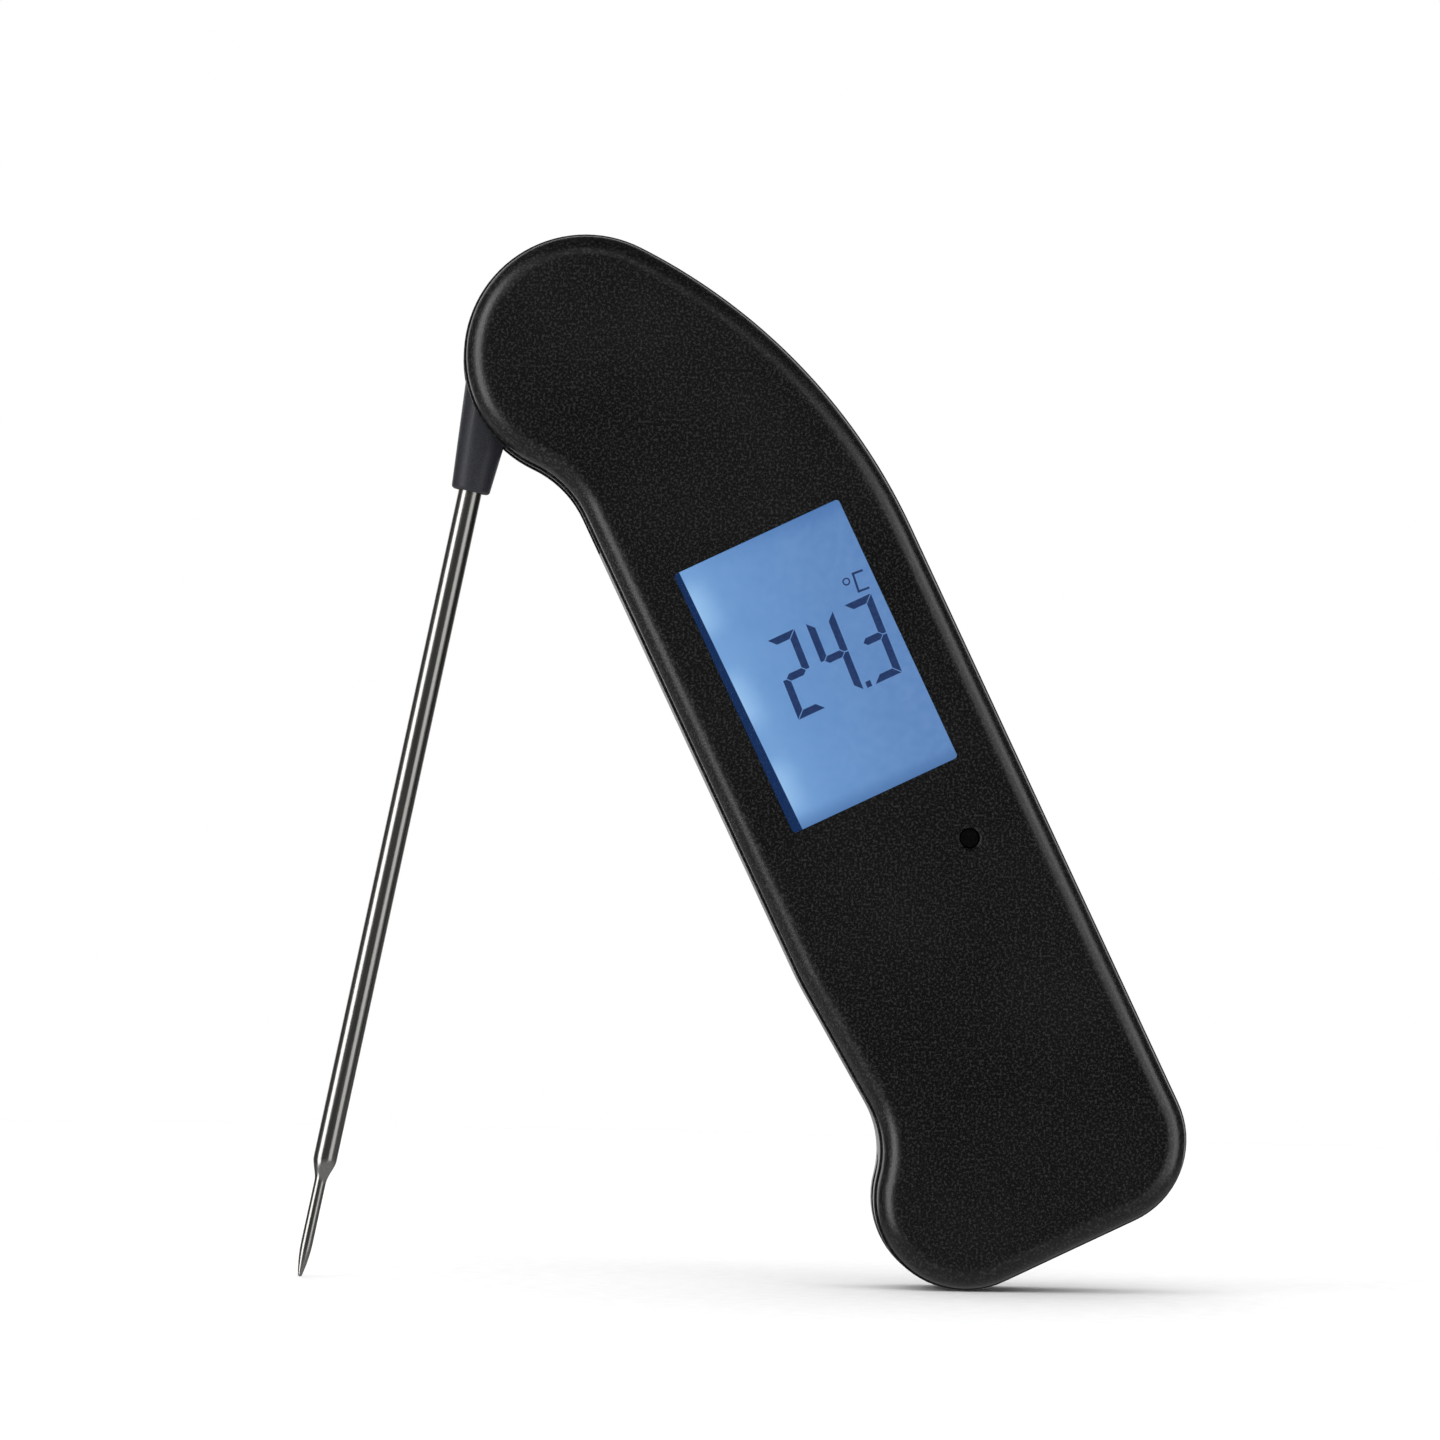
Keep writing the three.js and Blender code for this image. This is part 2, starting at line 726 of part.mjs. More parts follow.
function backCase() {
  let made = backHalf()
    .subtract(cavity(-face, innerFace))
    .subtract(sealGroove(-1, 0.6 + seat / 2))
    .subtract(sealPad(1))
    .add(round(0, 0, seat / 2, innerFace + 0.1, bossRadius, bossRadius, 24))
    .add(trayShell());
  for (const at of caseScrews) {
    made = made
      .add(round(at.x, at.z, seat / 2, innerFace + 0.1, screwBoss, screwBoss, 14))
      .subtract(screwHole(at, caseScrewRadius, screwTop, -1));
  }
  for (const at of coverScrews) {
    made = made
      .add(round(at.x, at.z, coverInsertBack - 5.4, innerFace + 0.1, coverBoss, coverBoss, 14))
      .subtract(insertHole(at, coverScrewRadius, coverInsertBack - 4.6, face));
  }
  return made
    .subtract(screwHole(pivot, pivotScrewRadius, screwTop, -1))
    .subtract(probeRoom().subtract(round(0, 0, -face, face, bossRadius)))
    .subtract(trayRoom());
}

const caseSeal = () => cavity(-0.6, 0.6, 1.2).subtract(cavity(-0.6, 0.6, 0.4));

// ---------------------------------------------------------------- hub, probe and pivot parts
const hubSeal = (side) => {
  const geometry = new THREE.TorusGeometry(sealRadius, sealSection, 6, 24);
  return solid(geometry.rotateX(Math.PI / 2).translate(0, (side * (hubFace + padFace)) / 2, 0));
};

// A thin ring with three waves, pressed between the hub and the back shell.
function waveWasher() {
  const sides = 24;
  const inner = bossRadius + 2 * seat;
  const outer = padBore - 2 * seat;
  const thickness = 0.3;
  const wave = (padFace - hubFace - thickness) / 2 - seat;
  const corners = [];
  const index = [];
  for (let i = 0; i < sides; i++) {
    const a = (2 * Math.PI * i) / sides;
    const y = (hubFace + padFace) / 2 + wave * Math.sin(3 * a);
    for (const [r, lift] of [[inner, -1], [outer, -1], [outer, 1], [inner, 1]]) {
      corners.push(r * Math.cos(a), y + (lift * thickness) / 2, r * Math.sin(a));
    }
    const here = 4 * i;
    const next = 4 * ((i + 1) % sides);
    for (let k = 0; k < 4; k++) {
      const m = (k + 1) % 4;
      index.push(here + k, here + m, next + k, next + k, here + m, next + m);
    }
  }
  const geometry = new THREE.BufferGeometry();
  geometry.setAttribute("position", new THREE.Float32BufferAttribute(corners, 3));
  geometry.setIndex(index);
  return solid(geometry);
}

const magnetPlace = { x: 4.8, z: -11.8 };
const leadHole = { x: -6.9, z: 2.6 };
const collarTop = -1.2;
const collarLength = 3;
const collarRadius = 2.4;

function probeHub() {
  const sleeve = [
    [0, -sleeveReach],
    [sleeveEndRadius - 0.5, -sleeveReach],
    [sleeveEndRadius, -sleeveReach + 0.5],
    [sleeveTopRadius, 0],
    [0, 0],
  ];
  const sides = hubFace - seat / 2;
  const sleeveSlab = box(-2 * probeOffset, 0, -sides, sides, -2 * sleeveReach, 1);
  const bore = stemRadius + seat;
  const stemRoom = [
    [0, -sleeveReach - 1],
    [bore, -sleeveReach - 1],
    [bore, collarTop - collarLength - seat],
    [collarRadius + seat, collarTop - collarLength - seat],
    [collarRadius + seat, collarTop + seat],
    [bore, collarTop + seat],
    [bore, leadHole.z + 0.6],
    [0, leadHole.z + 0.6],
  ];
  const leadWay = box(-probeOffset, leadHole.x + 0.8, -0.9, 0.9, leadHole.z - 0.9, leadHole.z + 0.6);
  return round(0, 0, -hubFace, hubFace, hubRadius, hubRadius, 40)
    .add(turned(sleeve, -probeOffset, 0, 16).intersect(sleeveSlab))
    .subtract(turned(stemRoom, -probeOffset, 0, 12))
    .subtract(round(0, 0, -hubFace - 1, hubFace + 1, hubBore, hubBore, 24))
    .subtract(leadWay)
    .subtract(round(leadHole.x, leadHole.z, -hubFace - 1, 0.9, 0.8, 0.8, 12))
    .subtract(
      round(
        magnetPlace.x,
        magnetPlace.z,
        -hubFace - 1,
        -hubFace + magnetDepth + 2 * seat,
        magnetRadius + seat,
        magnetRadius + seat,
        16,
      ),
    );
}

const hubMagnet = () =>
  round(
    magnetPlace.x,
    magnetPlace.z,
    -hubFace + seat,
    -hubFace + seat + magnetDepth,
    magnetRadius,
    magnetRadius,
    16,
  );

// Heights along the probe, from its point up.
const tipStart = -probeReach + tipLength;
const swageTop = tipStart + swageLength;
const stemTop = collarTop + 0.4;

function probeStem() {
  const profile = [
    [0, -probeReach],
    [pointRadius * 0.6, -probeReach + pointRadius * 0.2],
    [pointRadius, -probeReach + pointRadius * 0.8],
    [tipRadius * 0.8, -probeReach + tipPoint * 0.5],
    [tipRadius, -probeReach + tipPoint],
    [tipRadius, tipStart],
    [stemRadius, swageTop],
    [stemRadius, stemTop],
    [stemBore, stemTop],
    [stemBore, swageTop],
    [0, swageTop - 0.6],
  ];
  return turned(profile, -probeOffset, 0, 14);
}

const stemCollar = () => {
  const ring = [
    [stemRadius + seat / 2, collarTop - collarLength],
    [collarRadius, collarTop - collarLength],
    [collarRadius, collarTop],
    [stemRadius + seat / 2, collarTop],
    [stemRadius + seat / 2, collarTop - collarLength],
  ];
  return turned(ring, -probeOffset, 0, 12);
};

// The thermocouple's lead: up the stem, across inside the hub, and out of its front face by the pivot.
function probeLead() {
  const curve = new THREE.CatmullRomCurve3(
    [
      new THREE.Vector3(-probeOffset, 0, leadHole.z - 8),
      new THREE.Vector3(-probeOffset, 0, leadHole.z - 3),
      new THREE.Vector3(-probeOffset + 0.5, 0, leadHole.z - 0.7),
      new THREE.Vector3(-probeOffset + 1.6, 0, leadHole.z - 0.2),
      new THREE.Vector3(leadHole.x - 0.8, 0, leadHole.z - 0.1),
      new THREE.Vector3(leadHole.x - 0.1, -0.5, leadHole.z),
      new THREE.Vector3(leadHole.x, -1.6, leadHole.z),
      new THREE.Vector3(leadHole.x, -hubFace + 0.1, leadHole.z),
    ],
    false,
    "centripetal",
  );
  const straight = turned(
    [
      [0, swageTop + 1],
      [leadRadius, swageTop + 1],
      [leadRadius, leadHole.z - 7],
      [0, leadHole.z - 7],
    ],
    -probeOffset,
    0,
    6,
  );
  return wire(curve, leadRadius, 16, 3).add(straight);
}

// ---------------------------------------------------------------- materials
const finish = (color, roughness, metalness = 0, more = {}) =>
  new THREE.MeshStandardMaterial({ color, roughness, metalness, ...more });

const blackPlastic = finish(0x1b1b1c, 0.6);
const hubPlastic = finish(0x3a3b40, 0.5);
const steel = finish(0xb9babb, 0.25, 1);
const clear = finish(0xe8f0f4, 0.05, 0, { transparent: true, opacity: 0.3 });
const lcdBlue = finish(0x6f9ad4, 0.2, 0, { emissive: 0x3f6db0 });
const silicone = finish(0x2a2b2d, 0.8);
const whitePlastic = finish(0xe9e9e4, 0.6);
const boardGreen = finish(0x14532d, 0.5);
const chipBlack = finish(0x151515, 0.4);
const brass = finish(0xb58d3d, 0.35, 1);
const nickel = finish(0xc3c1ba, 0.3, 1);
const cellBlack = finish(0x22262c, 0.35);
const leadGreen = finish(0x2f7a3f, 0.6);

// ---------------------------------------------------------------- assembly
const caseGroup = new THREE.Group();
const probeGroup = new THREE.Group();
caseGroup.add(probeGroup);

function piece(group, name, made, material) {
  const { vertProperties, triVerts } = made.getMesh();
  const geometry = new THREE.BufferGeometry();
  geometry.setAttribute("position", new THREE.BufferAttribute(vertProperties, 3));
  geometry.setIndex(new THREE.BufferAttribute(triVerts, 1));
  geometry.computeVertexNormals();
  const mesh = new THREE.Mesh(geometry, material);
  mesh.name = name;
  group.add(mesh);
}

const inCase = (name, made, material) => piece(caseGroup, name, made, material);
const onProbe = (name, made, material) => piece(probeGroup, name, made, material);

inCase("front_case", frontCase(), blackPlastic);
inCase("back_case", backCase(), blackPlastic);
inCase("case_seal", caseSeal(), silicone);

inCase("display_lens", displayLens(), clear);
inCase("lens_seal", lensSeal(), silicone);
inCase("lcd_glass", lcdGlass(), lcdBlue);
inCase("light_guide", lightGuide(), clear);
inCase("lcd_frame", lcdFrame(), whitePlastic);
inCase("zebra_strip", zebraStrip(), silicone);
for (let i = 0; i < ledCount; i++) {
  inCase(`backlight_led_${i + 1}`, backlightLed(i), whitePlastic);
}

inCase("main_board", mainBoard(), boardGreen);
inCase("processor_chip", chip(middle + 3, -42, 9, 9, 1.2), chipBlack);
inCase("converter_chip", chip(middle - 8, -35, 5, 4, 1), chipBlack);
inCase("hall_sensor", chip(9, -22.6, 3, 1.8, 1), chipBlack);
inCase("light_sensor", lightSensor(), chipBlack);
inCase("light_pipe", lightPipe(), clear);
inCase("board_lead", boardLead(), leadGreen);

inCase("dip_block", dipBlock(), chipBlack);
for (let i = 0; i < switchLevers; i++) {
  inCase(`dip_lever_${i + 1}`, dipLever(i), whitePlastic);
}

inCase("battery_cell", batteryCell(), cellBlack);
inCase("battery_plus_contact", plusContact(), nickel);
inCase("battery_minus_spring", minusSpring(), nickel);
inCase("battery_cover", batteryCover(), blackPlastic);
inCase("cover_seal", coverSeal(), silicone);

caseScrews.forEach((at, i) => {
  inCase(`case_screw_${i + 1}`, screw(at, caseScrewRadius, screwTop, screwTip), nickel);
  inCase(`case_insert_${i + 1}`, insert(at, caseScrewRadius, insertFront, insertBack), brass);
});
coverScrews.forEach((at, i) => {
  const tip = coverInsertBack - 3.8;
  inCase(`cover_screw_${i + 1}`, screw(at, coverScrewRadius, screwTop, tip), nickel);
  inCase(
    `cover_insert_${i + 1}`,
    insert(at, coverScrewRadius, coverInsertBack - 4.4, coverInsertBack),
    brass,
  );
});
inCase("pivot_screw", screw(pivot, pivotScrewRadius, screwTop, screwTip), nickel);
inCase("pivot_insert", insert(pivot, pivotScrewRadius, insertFront, insertBack), brass);
inCase("hub_seal_front", hubSeal(-1), silicone);
inCase("hub_seal_back", hubSeal(1), silicone);
inCase("friction_washer", waveWasher(), nickel);

onProbe("probe_hub", probeHub(), hubPlastic);
onProbe("probe_stem", probeStem(), steel);
onProbe("stem_collar", stemCollar(), brass);
onProbe("probe_lead", probeLead(), leadGreen);
onProbe("hub_magnet", hubMagnet(), nickel);

// ---------------------------------------------------------------- stance
// The case leans until the round of its foot and the probe's point touch the same floor.
function leanAngle() {
  const open = rad(openAngle);
  const pointUp = -probeReach + pointRadius;
  const pointX = -probeOffset * Math.cos(open) + pointUp * Math.sin(open);
  const pointZ = probeOffset * Math.sin(open) + pointUp * Math.cos(open);
  const acrossX = foot.x - pointX;
  const acrossZ = foot.z - pointZ;
  const rise = (footRadius - pointRadius) / Math.hypot(acrossX, acrossZ);
  return Math.asin(rise) - Math.atan2(acrossZ, acrossX);
}

probeGroup.rotation.y = rad(openAngle);
caseGroup.rotation.y = -leanAngle();

const thermometer = new THREE.Group();
thermometer.add(caseGroup);
const bounds = new THREE.Box3().setFromObject(thermometer, true);
const centre = bounds.getCenter(new THREE.Vector3());
caseGroup.position.set(-centre.x, -centre.y, -bounds.min.z);

export default thermometer;
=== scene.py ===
"""Fold-out meat thermometer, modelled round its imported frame.
"""
import json
import math

import bmesh
import bpy
from mathutils import Matrix, Vector


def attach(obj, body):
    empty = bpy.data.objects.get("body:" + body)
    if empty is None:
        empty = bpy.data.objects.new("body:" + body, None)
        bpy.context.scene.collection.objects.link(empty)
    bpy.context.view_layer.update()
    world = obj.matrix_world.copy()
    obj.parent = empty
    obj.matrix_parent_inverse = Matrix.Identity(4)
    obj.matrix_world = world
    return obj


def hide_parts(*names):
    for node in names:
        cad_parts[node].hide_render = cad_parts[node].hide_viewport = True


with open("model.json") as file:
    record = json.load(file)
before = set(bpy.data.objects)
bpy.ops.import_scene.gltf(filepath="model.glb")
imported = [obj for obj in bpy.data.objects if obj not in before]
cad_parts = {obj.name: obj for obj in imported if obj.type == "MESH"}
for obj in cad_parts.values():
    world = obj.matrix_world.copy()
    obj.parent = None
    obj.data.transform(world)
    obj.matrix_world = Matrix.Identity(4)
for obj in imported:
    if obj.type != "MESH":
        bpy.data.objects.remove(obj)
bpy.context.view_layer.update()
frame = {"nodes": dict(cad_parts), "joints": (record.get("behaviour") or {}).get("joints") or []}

MM = 0.001

# ---------------------------------------------------------------- sizes
SEAT = 0.2  # gap round a piece that seats in another
RUNNING = 0.3  # gap round what turns
FACE = 9.5  # half the case's thickness
INNER_FACE = 7.5
SEAM = 0.1  # half the gap between the two shells
WALL = 2.0
EDGE = 3.0  # rounding of the shells' edges
BAND = 4.4  # half the width of the side band
PROUD = 0.35  # how far the band stands out
LEFT, RIGHT = -9.4, 30.2  # the case's straight sides
MIDDLE = (LEFT + RIGHT) / 2
HEAD = 16.5
SHOULDER, NECK, WAIST, HEEL, FOOT, CORNER = 80, 14, 40, 12.8, 12.4, 12
WAIST_TURN = 4.3
FOOT_END = -137.1
WAIST_Z = FOOT_END + 49.6
FOOT_X = -1.4

HUB_FACE, HUB_RADIUS, LIP_RADIUS = 3.3, 15.65, 16.15
SLOT_FACE = 3.6
SLOT_FROM, SLOT_TO = 8, 230.5  # the open slot round the head, in degrees
BOSS, HUB_BORE, PAD_BORE, PAD_FACE, WELL_FLOOR = 5.7, 6.0, 9.7, 5.3, 6.8
POCKET = LIP_RADIUS + 2
CAVITY_LEFT = -5.6

STEM_X = -11.4
STEM, STEM_BORE, TIP, POINT = 1.6, 1.2, 0.8, 0.3  # radii of the stem, its bore, tip and point
POINT_END = -129.6
PARK_END = POINT_END - 1.2  # end of the channel that the folded stem lies in
SLEEVE_END, SLEEVE_TOP, SLEEVE_REACH = 2.65, 4.3, -21.0
GROOVE_FLOOR, GROOVE_TOP = -8.15, -6.5  # how far right the parked sleeve's groove goes
OUTSIDE = -33  # clear of the case's left side

WINDOW = (-1.95, 22.55, -70.2, -31.8)  # left, right, bottom, top
SENSOR = (19.35, -80.7)
SENSOR_HOLE = 1.4
CELL, CELL_Y = 5.2, 2.4  # the AAA cell's radius and depth
TRAY = (4.9, 15.9, -126.2, -75.7)  # left, right, bottom, top
TRAY_WALL = 1.2
LID = (2.3, 18.5, -133.6, -58.6)  # left, right, bottom, top
LID_FLOOR, LID_CORNER = 8.0, 5.67
INSERT_END = -5.7  # how far forward the holes of the case's inserts reach
CASE_SCREW, LID_SCREW, PIVOT_SCREW = 1.25, 1.0, 1.5  # radii
SCREW_TIP = -4.9
SCREW_SINK = 0.25  # a screw's head lies this far under the back
SCREW_HEAD_WIDTH, SCREW_HEAD_DEPTH = 1.9, 1.1  # in radii of the screw
CASE_BOSS = 2.85
CASE_SCREWS = ((20.5, -20.0), (-1.9, -126.3), (23.2, -127.1))
LID_SCREWS = ((10.4, -61.6), (10.4, -130.6))
LAMP_PITCH, MIDDLE_LAMP = 13.3, -50.9  # the backlight's lamps
GUIDE_LEAN = 0.0132  # slope of the light guide's left edge
PANEL_FACE, PANEL_BACK = -6.0, -4.4
FIGURE_BASE, FIGURE_BACK, FIGURE_DEPTH = -56.6, -6.03, 0.06

hinge = next(j for j in frame["joints"] if j["name"] == "probe_hinge")
down = next(j for j in frame["joints"] if j["name"] == "setting_1")["axis"]
PIVOT = Vector(hinge["pos_m"])
LEAN = math.atan2(down[0], -down[2])
OPEN = -math.radians(hinge["range_deg"][0])
CASE = Matrix.Translation(PIVOT) @ Matrix.Rotation(-LEAN, 4, "Y") @ Matrix.Scale(MM, 4)
PROBE = CASE @ Matrix.Rotation(OPEN, 4, "Y")


# ---------------------------------------------------------------- working by hand
def only(piece):
    bpy.ops.object.select_all(action="DESELECT")
    piece.select_set(True)
    bpy.context.view_layer.objects.active = piece


def placed(name):
    """Names the primitive that was just added and puts its place into its mesh."""
    piece = bpy.context.object
    piece.name = piece.data.name = name
    bpy.ops.object.transform_apply()
    return piece


def block(name, x0, x1, y0, y1, z0, z1):
    bpy.ops.object.select_all(action="DESELECT")
    bpy.ops.mesh.primitive_cube_add(
        size=1,
        location=((x0 + x1) / 2, (y0 + y1) / 2, (z0 + z1) / 2),
        scale=(x1 - x0, y1 - y0, z1 - z0),
    )
    return placed(name)


def disc(name, x, z, y0, y1, r0, r1=None, sides=64):
    """A cylinder or cone along y."""
    bpy.ops.object.select_all(action="DESELECT")
    bpy.ops.mesh.primitive_cone_add(
        vertices=sides,
        radius1=r0,
        radius2=r0 if r1 is None else r1,
        depth=y1 - y0,
        location=(x, (y0 + y1) / 2, z),
        rotation=(-math.pi / 2, 0, 0),
    )
    return placed(name)


def edit(piece, kind="VERT"):
    only(piece)
    bpy.ops.object.mode_set(mode="EDIT")
    bpy.ops.mesh.select_mode(type=kind)


def choose(piece, kind, test):
    """In edit mode, selects only the edges or faces that pass the test."""
    bpy.ops.mesh.select_mode(type="EDGE" if kind == "edges" else "FACE")
    bpy.ops.mesh.select_all(action="DESELECT")
    mesh = bmesh.from_edit_mesh(piece.data)
    for part in getattr(mesh, kind):
        if test(part):
            part.select_set(True)
    bmesh.update_edit_mesh(piece.data)


def close_up():
    """Merges doubles, turns all faces outwards and leaves edit mode."""
    bpy.ops.mesh.select_all(action="SELECT")
    bpy.ops.mesh.remove_doubles(threshold=1e-4)
    bpy.ops.mesh.normals_make_consistent(inside=False)
    bpy.ops.object.mode_set(mode="OBJECT")


def draw(name, y, start, *steps, closed=True, chord=1.1):
    """Draws an outline at depth y. A step (x, z) is a straight line, and (x, z, turn) an arc round
    that centre."""
    bpy.ops.object.select_all(action="DESELECT")
    bpy.ops.mesh.primitive_plane_add(size=1)
    piece = placed(name)
    edit(piece)
    bpy.ops.mesh.select_all(action="SELECT")
    bpy.ops.mesh.merge(type="CENTER")
    pen = Vector((start[0], y, start[1]))
    bpy.ops.transform.translate(value=pen)
    for step in steps + ((start,) if closed else ()):
        goal = Vector((step[0], y, step[1]))
        if len(step) == 2:
            if (goal - pen).length > 1e-4:
                bpy.ops.mesh.extrude_region_move(TRANSFORM_OT_translate={"value": goal - pen})
            pen = goal
            continue
        turn = math.radians(step[2])
        count = max(2, round(abs(turn) * (pen - goal).length / chord))
        bpy.ops.mesh.spin(steps=count, angle=turn, center=goal, axis=(0, 1, 0))
        pen = goal + Matrix.Rotation(-turn, 3, "Y") @ (pen - goal)
    bpy.ops.mesh.select_all(action="SELECT")
    bpy.ops.mesh.remove_doubles(threshold=1e-3)
    if closed:
        bpy.ops.mesh.edge_face_add()
    return piece


def thicken(piece, depth, edge=0.0, back_edge=0.0, segments=8):
    """Gives a drawn outline its depth along y, and rounds the rims of its far and near faces."""
    bpy.ops.mesh.select_all(action="SELECT")
    near = bmesh.from_edit_mesh(piece.data).verts[:][0].co.y
    bpy.ops.mesh.extrude_region_move(TRANSFORM_OT_translate={"value": (0, depth, 0)})
    for y, width, count in ((near + depth, edge, segments), (near, back_edge, 2)):
        if width:
            choose(piece, "edges", lambda e: all(abs(v.co.y - y) < 1e-4 for v in e.verts))
            bpy.ops.mesh.bevel(
                offset=width, segments=count, profile=0.5, affect="EDGES", clamp_overlap=False
            )
    close_up()
    return piece


def turned(name, x, y, profile, sides=48):
    """Turns a profile of (radius, height) points round an upright axis."""
    piece = draw(name, y, *[(x + r, z) for r, z in profile], closed=False)
    bpy.ops.mesh.select_all(action="SELECT")
    bpy.ops.mesh.spin(steps=sides, angle=2 * math.pi, center=(x, y, 0), axis=(0, 0, 1))
    close_up()
    return piece


def rounded_plate(name, x0, x1, z0, z1, corner, y0, y1, edge=0.0, segments=4):
    """A plate with rounded corners, from y0 to y1, and a rounded rim at y1."""
    return thicken(
        draw(
            name,
            y0,
            (x1 - corner, z0),
            (x1 - corner, z0 + corner, 90),
            (x1, z1 - corner),
            (x1 - corner, z1 - corner, 90),
            (x0 + corner, z1),
            (x0 + corner, z1 - corner, 90),
            (x0, z0 + corner),
            (x0 + corner, z0 + corner, 90),
            chord=max(0.1, corner / 6),
        ),
        y1 - y0,
        edge,
        segments=segments,
    )


def combine(piece, operation, *tools):
    for tool in tools:
        step = piece.modifiers.new("Boolean", "BOOLEAN")
        step.operation, step.solver, step.object = operation, "EXACT", tool
        only(piece)
        bpy.ops.object.modifier_apply(modifier=step.name)
        bpy.data.objects.remove(tool)
    return piece


def cut(piece, *tools):
    return combine(piece, "DIFFERENCE", *tools)


def join(piece, *tools):
    return combine(piece, "UNION", *tools)


def keep(piece, *tools):
    return combine(piece, "INTERSECT", *tools)


def finish(piece, place, body, slot, material, *nodes, angle=32):
    """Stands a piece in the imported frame, shades it, and gives it its material and its body."""
    only(piece)
    piece.matrix_world = place
    bpy.ops.object.transform_apply()
    bpy.ops.object.shade_smooth_by_angle(angle=math.radians(angle))
    step = piece.modifiers.new("Weighted normals", "WEIGHTED_NORMAL")
    step.keep_sharp = True
    bpy.ops.object.modifier_apply(modifier=step.name)
    piece.data.materials.clear()
    piece.data.materials.append(material)
    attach(piece, body)
    if nodes:
        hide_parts(*nodes)
    return piece


def softened(node, body, slot, material, edge=0.0, angle=40):
    """A copy of a CAD node as one merged mesh, with its edges eased by edge millimetres."""
    source = frame["nodes"][node]
    piece = bpy.data.objects.new(node + "_piece", source.data.copy())
    bpy.context.scene.collection.objects.link(piece)
    edit(piece)
    bpy.ops.mesh.select_all(action="SELECT")
    bpy.ops.mesh.customdata_custom_splitnormals_clear()
    bpy.ops.mesh.remove_doubles(threshold=1e-6)
    bpy.ops.mesh.dissolve_limited(angle_limit=math.radians(1))
    bpy.ops.object.mode_set(mode="OBJECT")
    if edge:
        step = piece.modifiers.new("Eased edges", "BEVEL")
        step.width, step.segments, step.limit_method = edge * MM, 2, "ANGLE"
        step.angle_limit = math.radians(angle)
        bpy.ops.object.modifier_apply(modifier=step.name)
    return finish(piece, Matrix.Identity(4), body, slot, material, node, angle=angle)


# ---------------------------------------------------------------- materials
MIX_FACTOR, MIX_A, MIX_B, MIX_RESULT = 0, 6, 7, 2  # a Mix node's colour sockets


def linear(colour):
    """An sRGB hex colour as linear values."""
    channels = (int(colour[i : i + 2], 16) / 255 for i in (1, 3, 5))
    curve = (c / 12.92 if c <= 0.04045 else ((c + 0.055) / 1.055) ** 2.4 for c in channels)
    return (*curve, 1)


def add(tree, kind, inputs=None, **settings):
    """Adds a node with its settings, its fixed inputs and its links."""
    made = tree.nodes.new(kind)
    for setting, value in settings.items():
        setattr(made, setting, value)
    for socket, value in (inputs or {}).items():
        if isinstance(value, bpy.types.NodeSocket):
            tree.links.new(value, made.inputs[socket])
        else:
            made.inputs[socket].default_value = value
    return made


def start_material(name, **shader_inputs):
    """A new material: itself, its node tree, its shader, and a point's place in metres."""
    made = bpy.data.materials.new(name)
    made.use_nodes = True
    tree = made.node_tree
    shader = tree.nodes["Principled BSDF"]
    for socket, value in shader_inputs.items():
        shader.inputs[socket.replace("_", " ")].default_value = value
    return made, tree, shader, add(tree, "ShaderNodeTexCoord").outputs["Object"]


def per_mm(size):
    """The scale that gives a pattern features of that size in millimetres."""
    return 1 / (size * MM)


def in_frame(tree, place, turn):
    """Coordinates in millimetres from the pivot, turned with the case or the probe."""
    return add(
        tree,
        "ShaderNodeMapping",
        {"Vector": place, "Location": PIVOT, "Rotation": (0, turn, 0), "Scale": (MM,) * 3},
        vector_type="TEXTURE",
    ).outputs["Vector"]


def two_tone(tree, shader, value, socket, low, high, from_min=0.0, from_max=1.0):
    """Spreads a pattern between two colours or two numbers, on one of the shader's sockets."""
    spread = {"Value": value, "From Min": from_min, "From Max": from_max}
    if isinstance(low, str):
        share = add(tree, "ShaderNodeMapRange", spread).outputs["Result"]
        result = add(
            tree,
            "ShaderNodeMix",
            {MIX_FACTOR: share, MIX_A: linear(low), MIX_B: linear(high)},
            data_type="RGBA",
        ).outputs[MIX_RESULT]
    else:
        result = add(
            tree, "ShaderNodeMapRange", {**spread, "To Min": low, "To Max": high}
        ).outputs["Result"]
    tree.links.new(result, shader.inputs[socket])


def moulded_plastic(name, dark, light, grain, depth, gloss, **shader_inputs):
    """Thermoplastic moulded against spark-eroded steel: an even grain of small hollows that breaks
    the gloss into a soft sheen, with slow changes in gloss from handling. Its colour is painted
    darker in the hollows and lighter on the tops, a painted shade and painted highlight of the
    grain."""
    made, tree, shader, place = start_material(name, **shader_inputs)
    pits_and_painted_shade = add(
        tree,
        "ShaderNodeTexNoise",
        {"Vector": place, "Scale": per_mm(grain), "Detail": 2.0, "Roughness": 0.55},
    ).outputs["Fac"]
    handling = add(
        tree, "ShaderNodeTexNoise", {"Vector": place, "Scale": per_mm(22), "Detail": 2.0}
    ).outputs["Fac"]
    # painted shade and highlight: the base colour follows the grain's height, darker in the hollows
    # and lighter on the tops
    two_tone(tree, shader, pits_and_painted_shade, "Base Color", dark, light, 0.49, 0.66)
    two_tone(tree, shader, handling, "Roughness", gloss - 0.04, gloss + 0.05, 0.3, 0.7)
    bump = add(
        tree, "ShaderNodeBump", {"Height": pits_and_painted_shade, "Strength": 0.6, "Distance": depth * MM}
    ).outputs["Normal"]
    tree.links.new(bump, shader.inputs["Normal"])
    return made


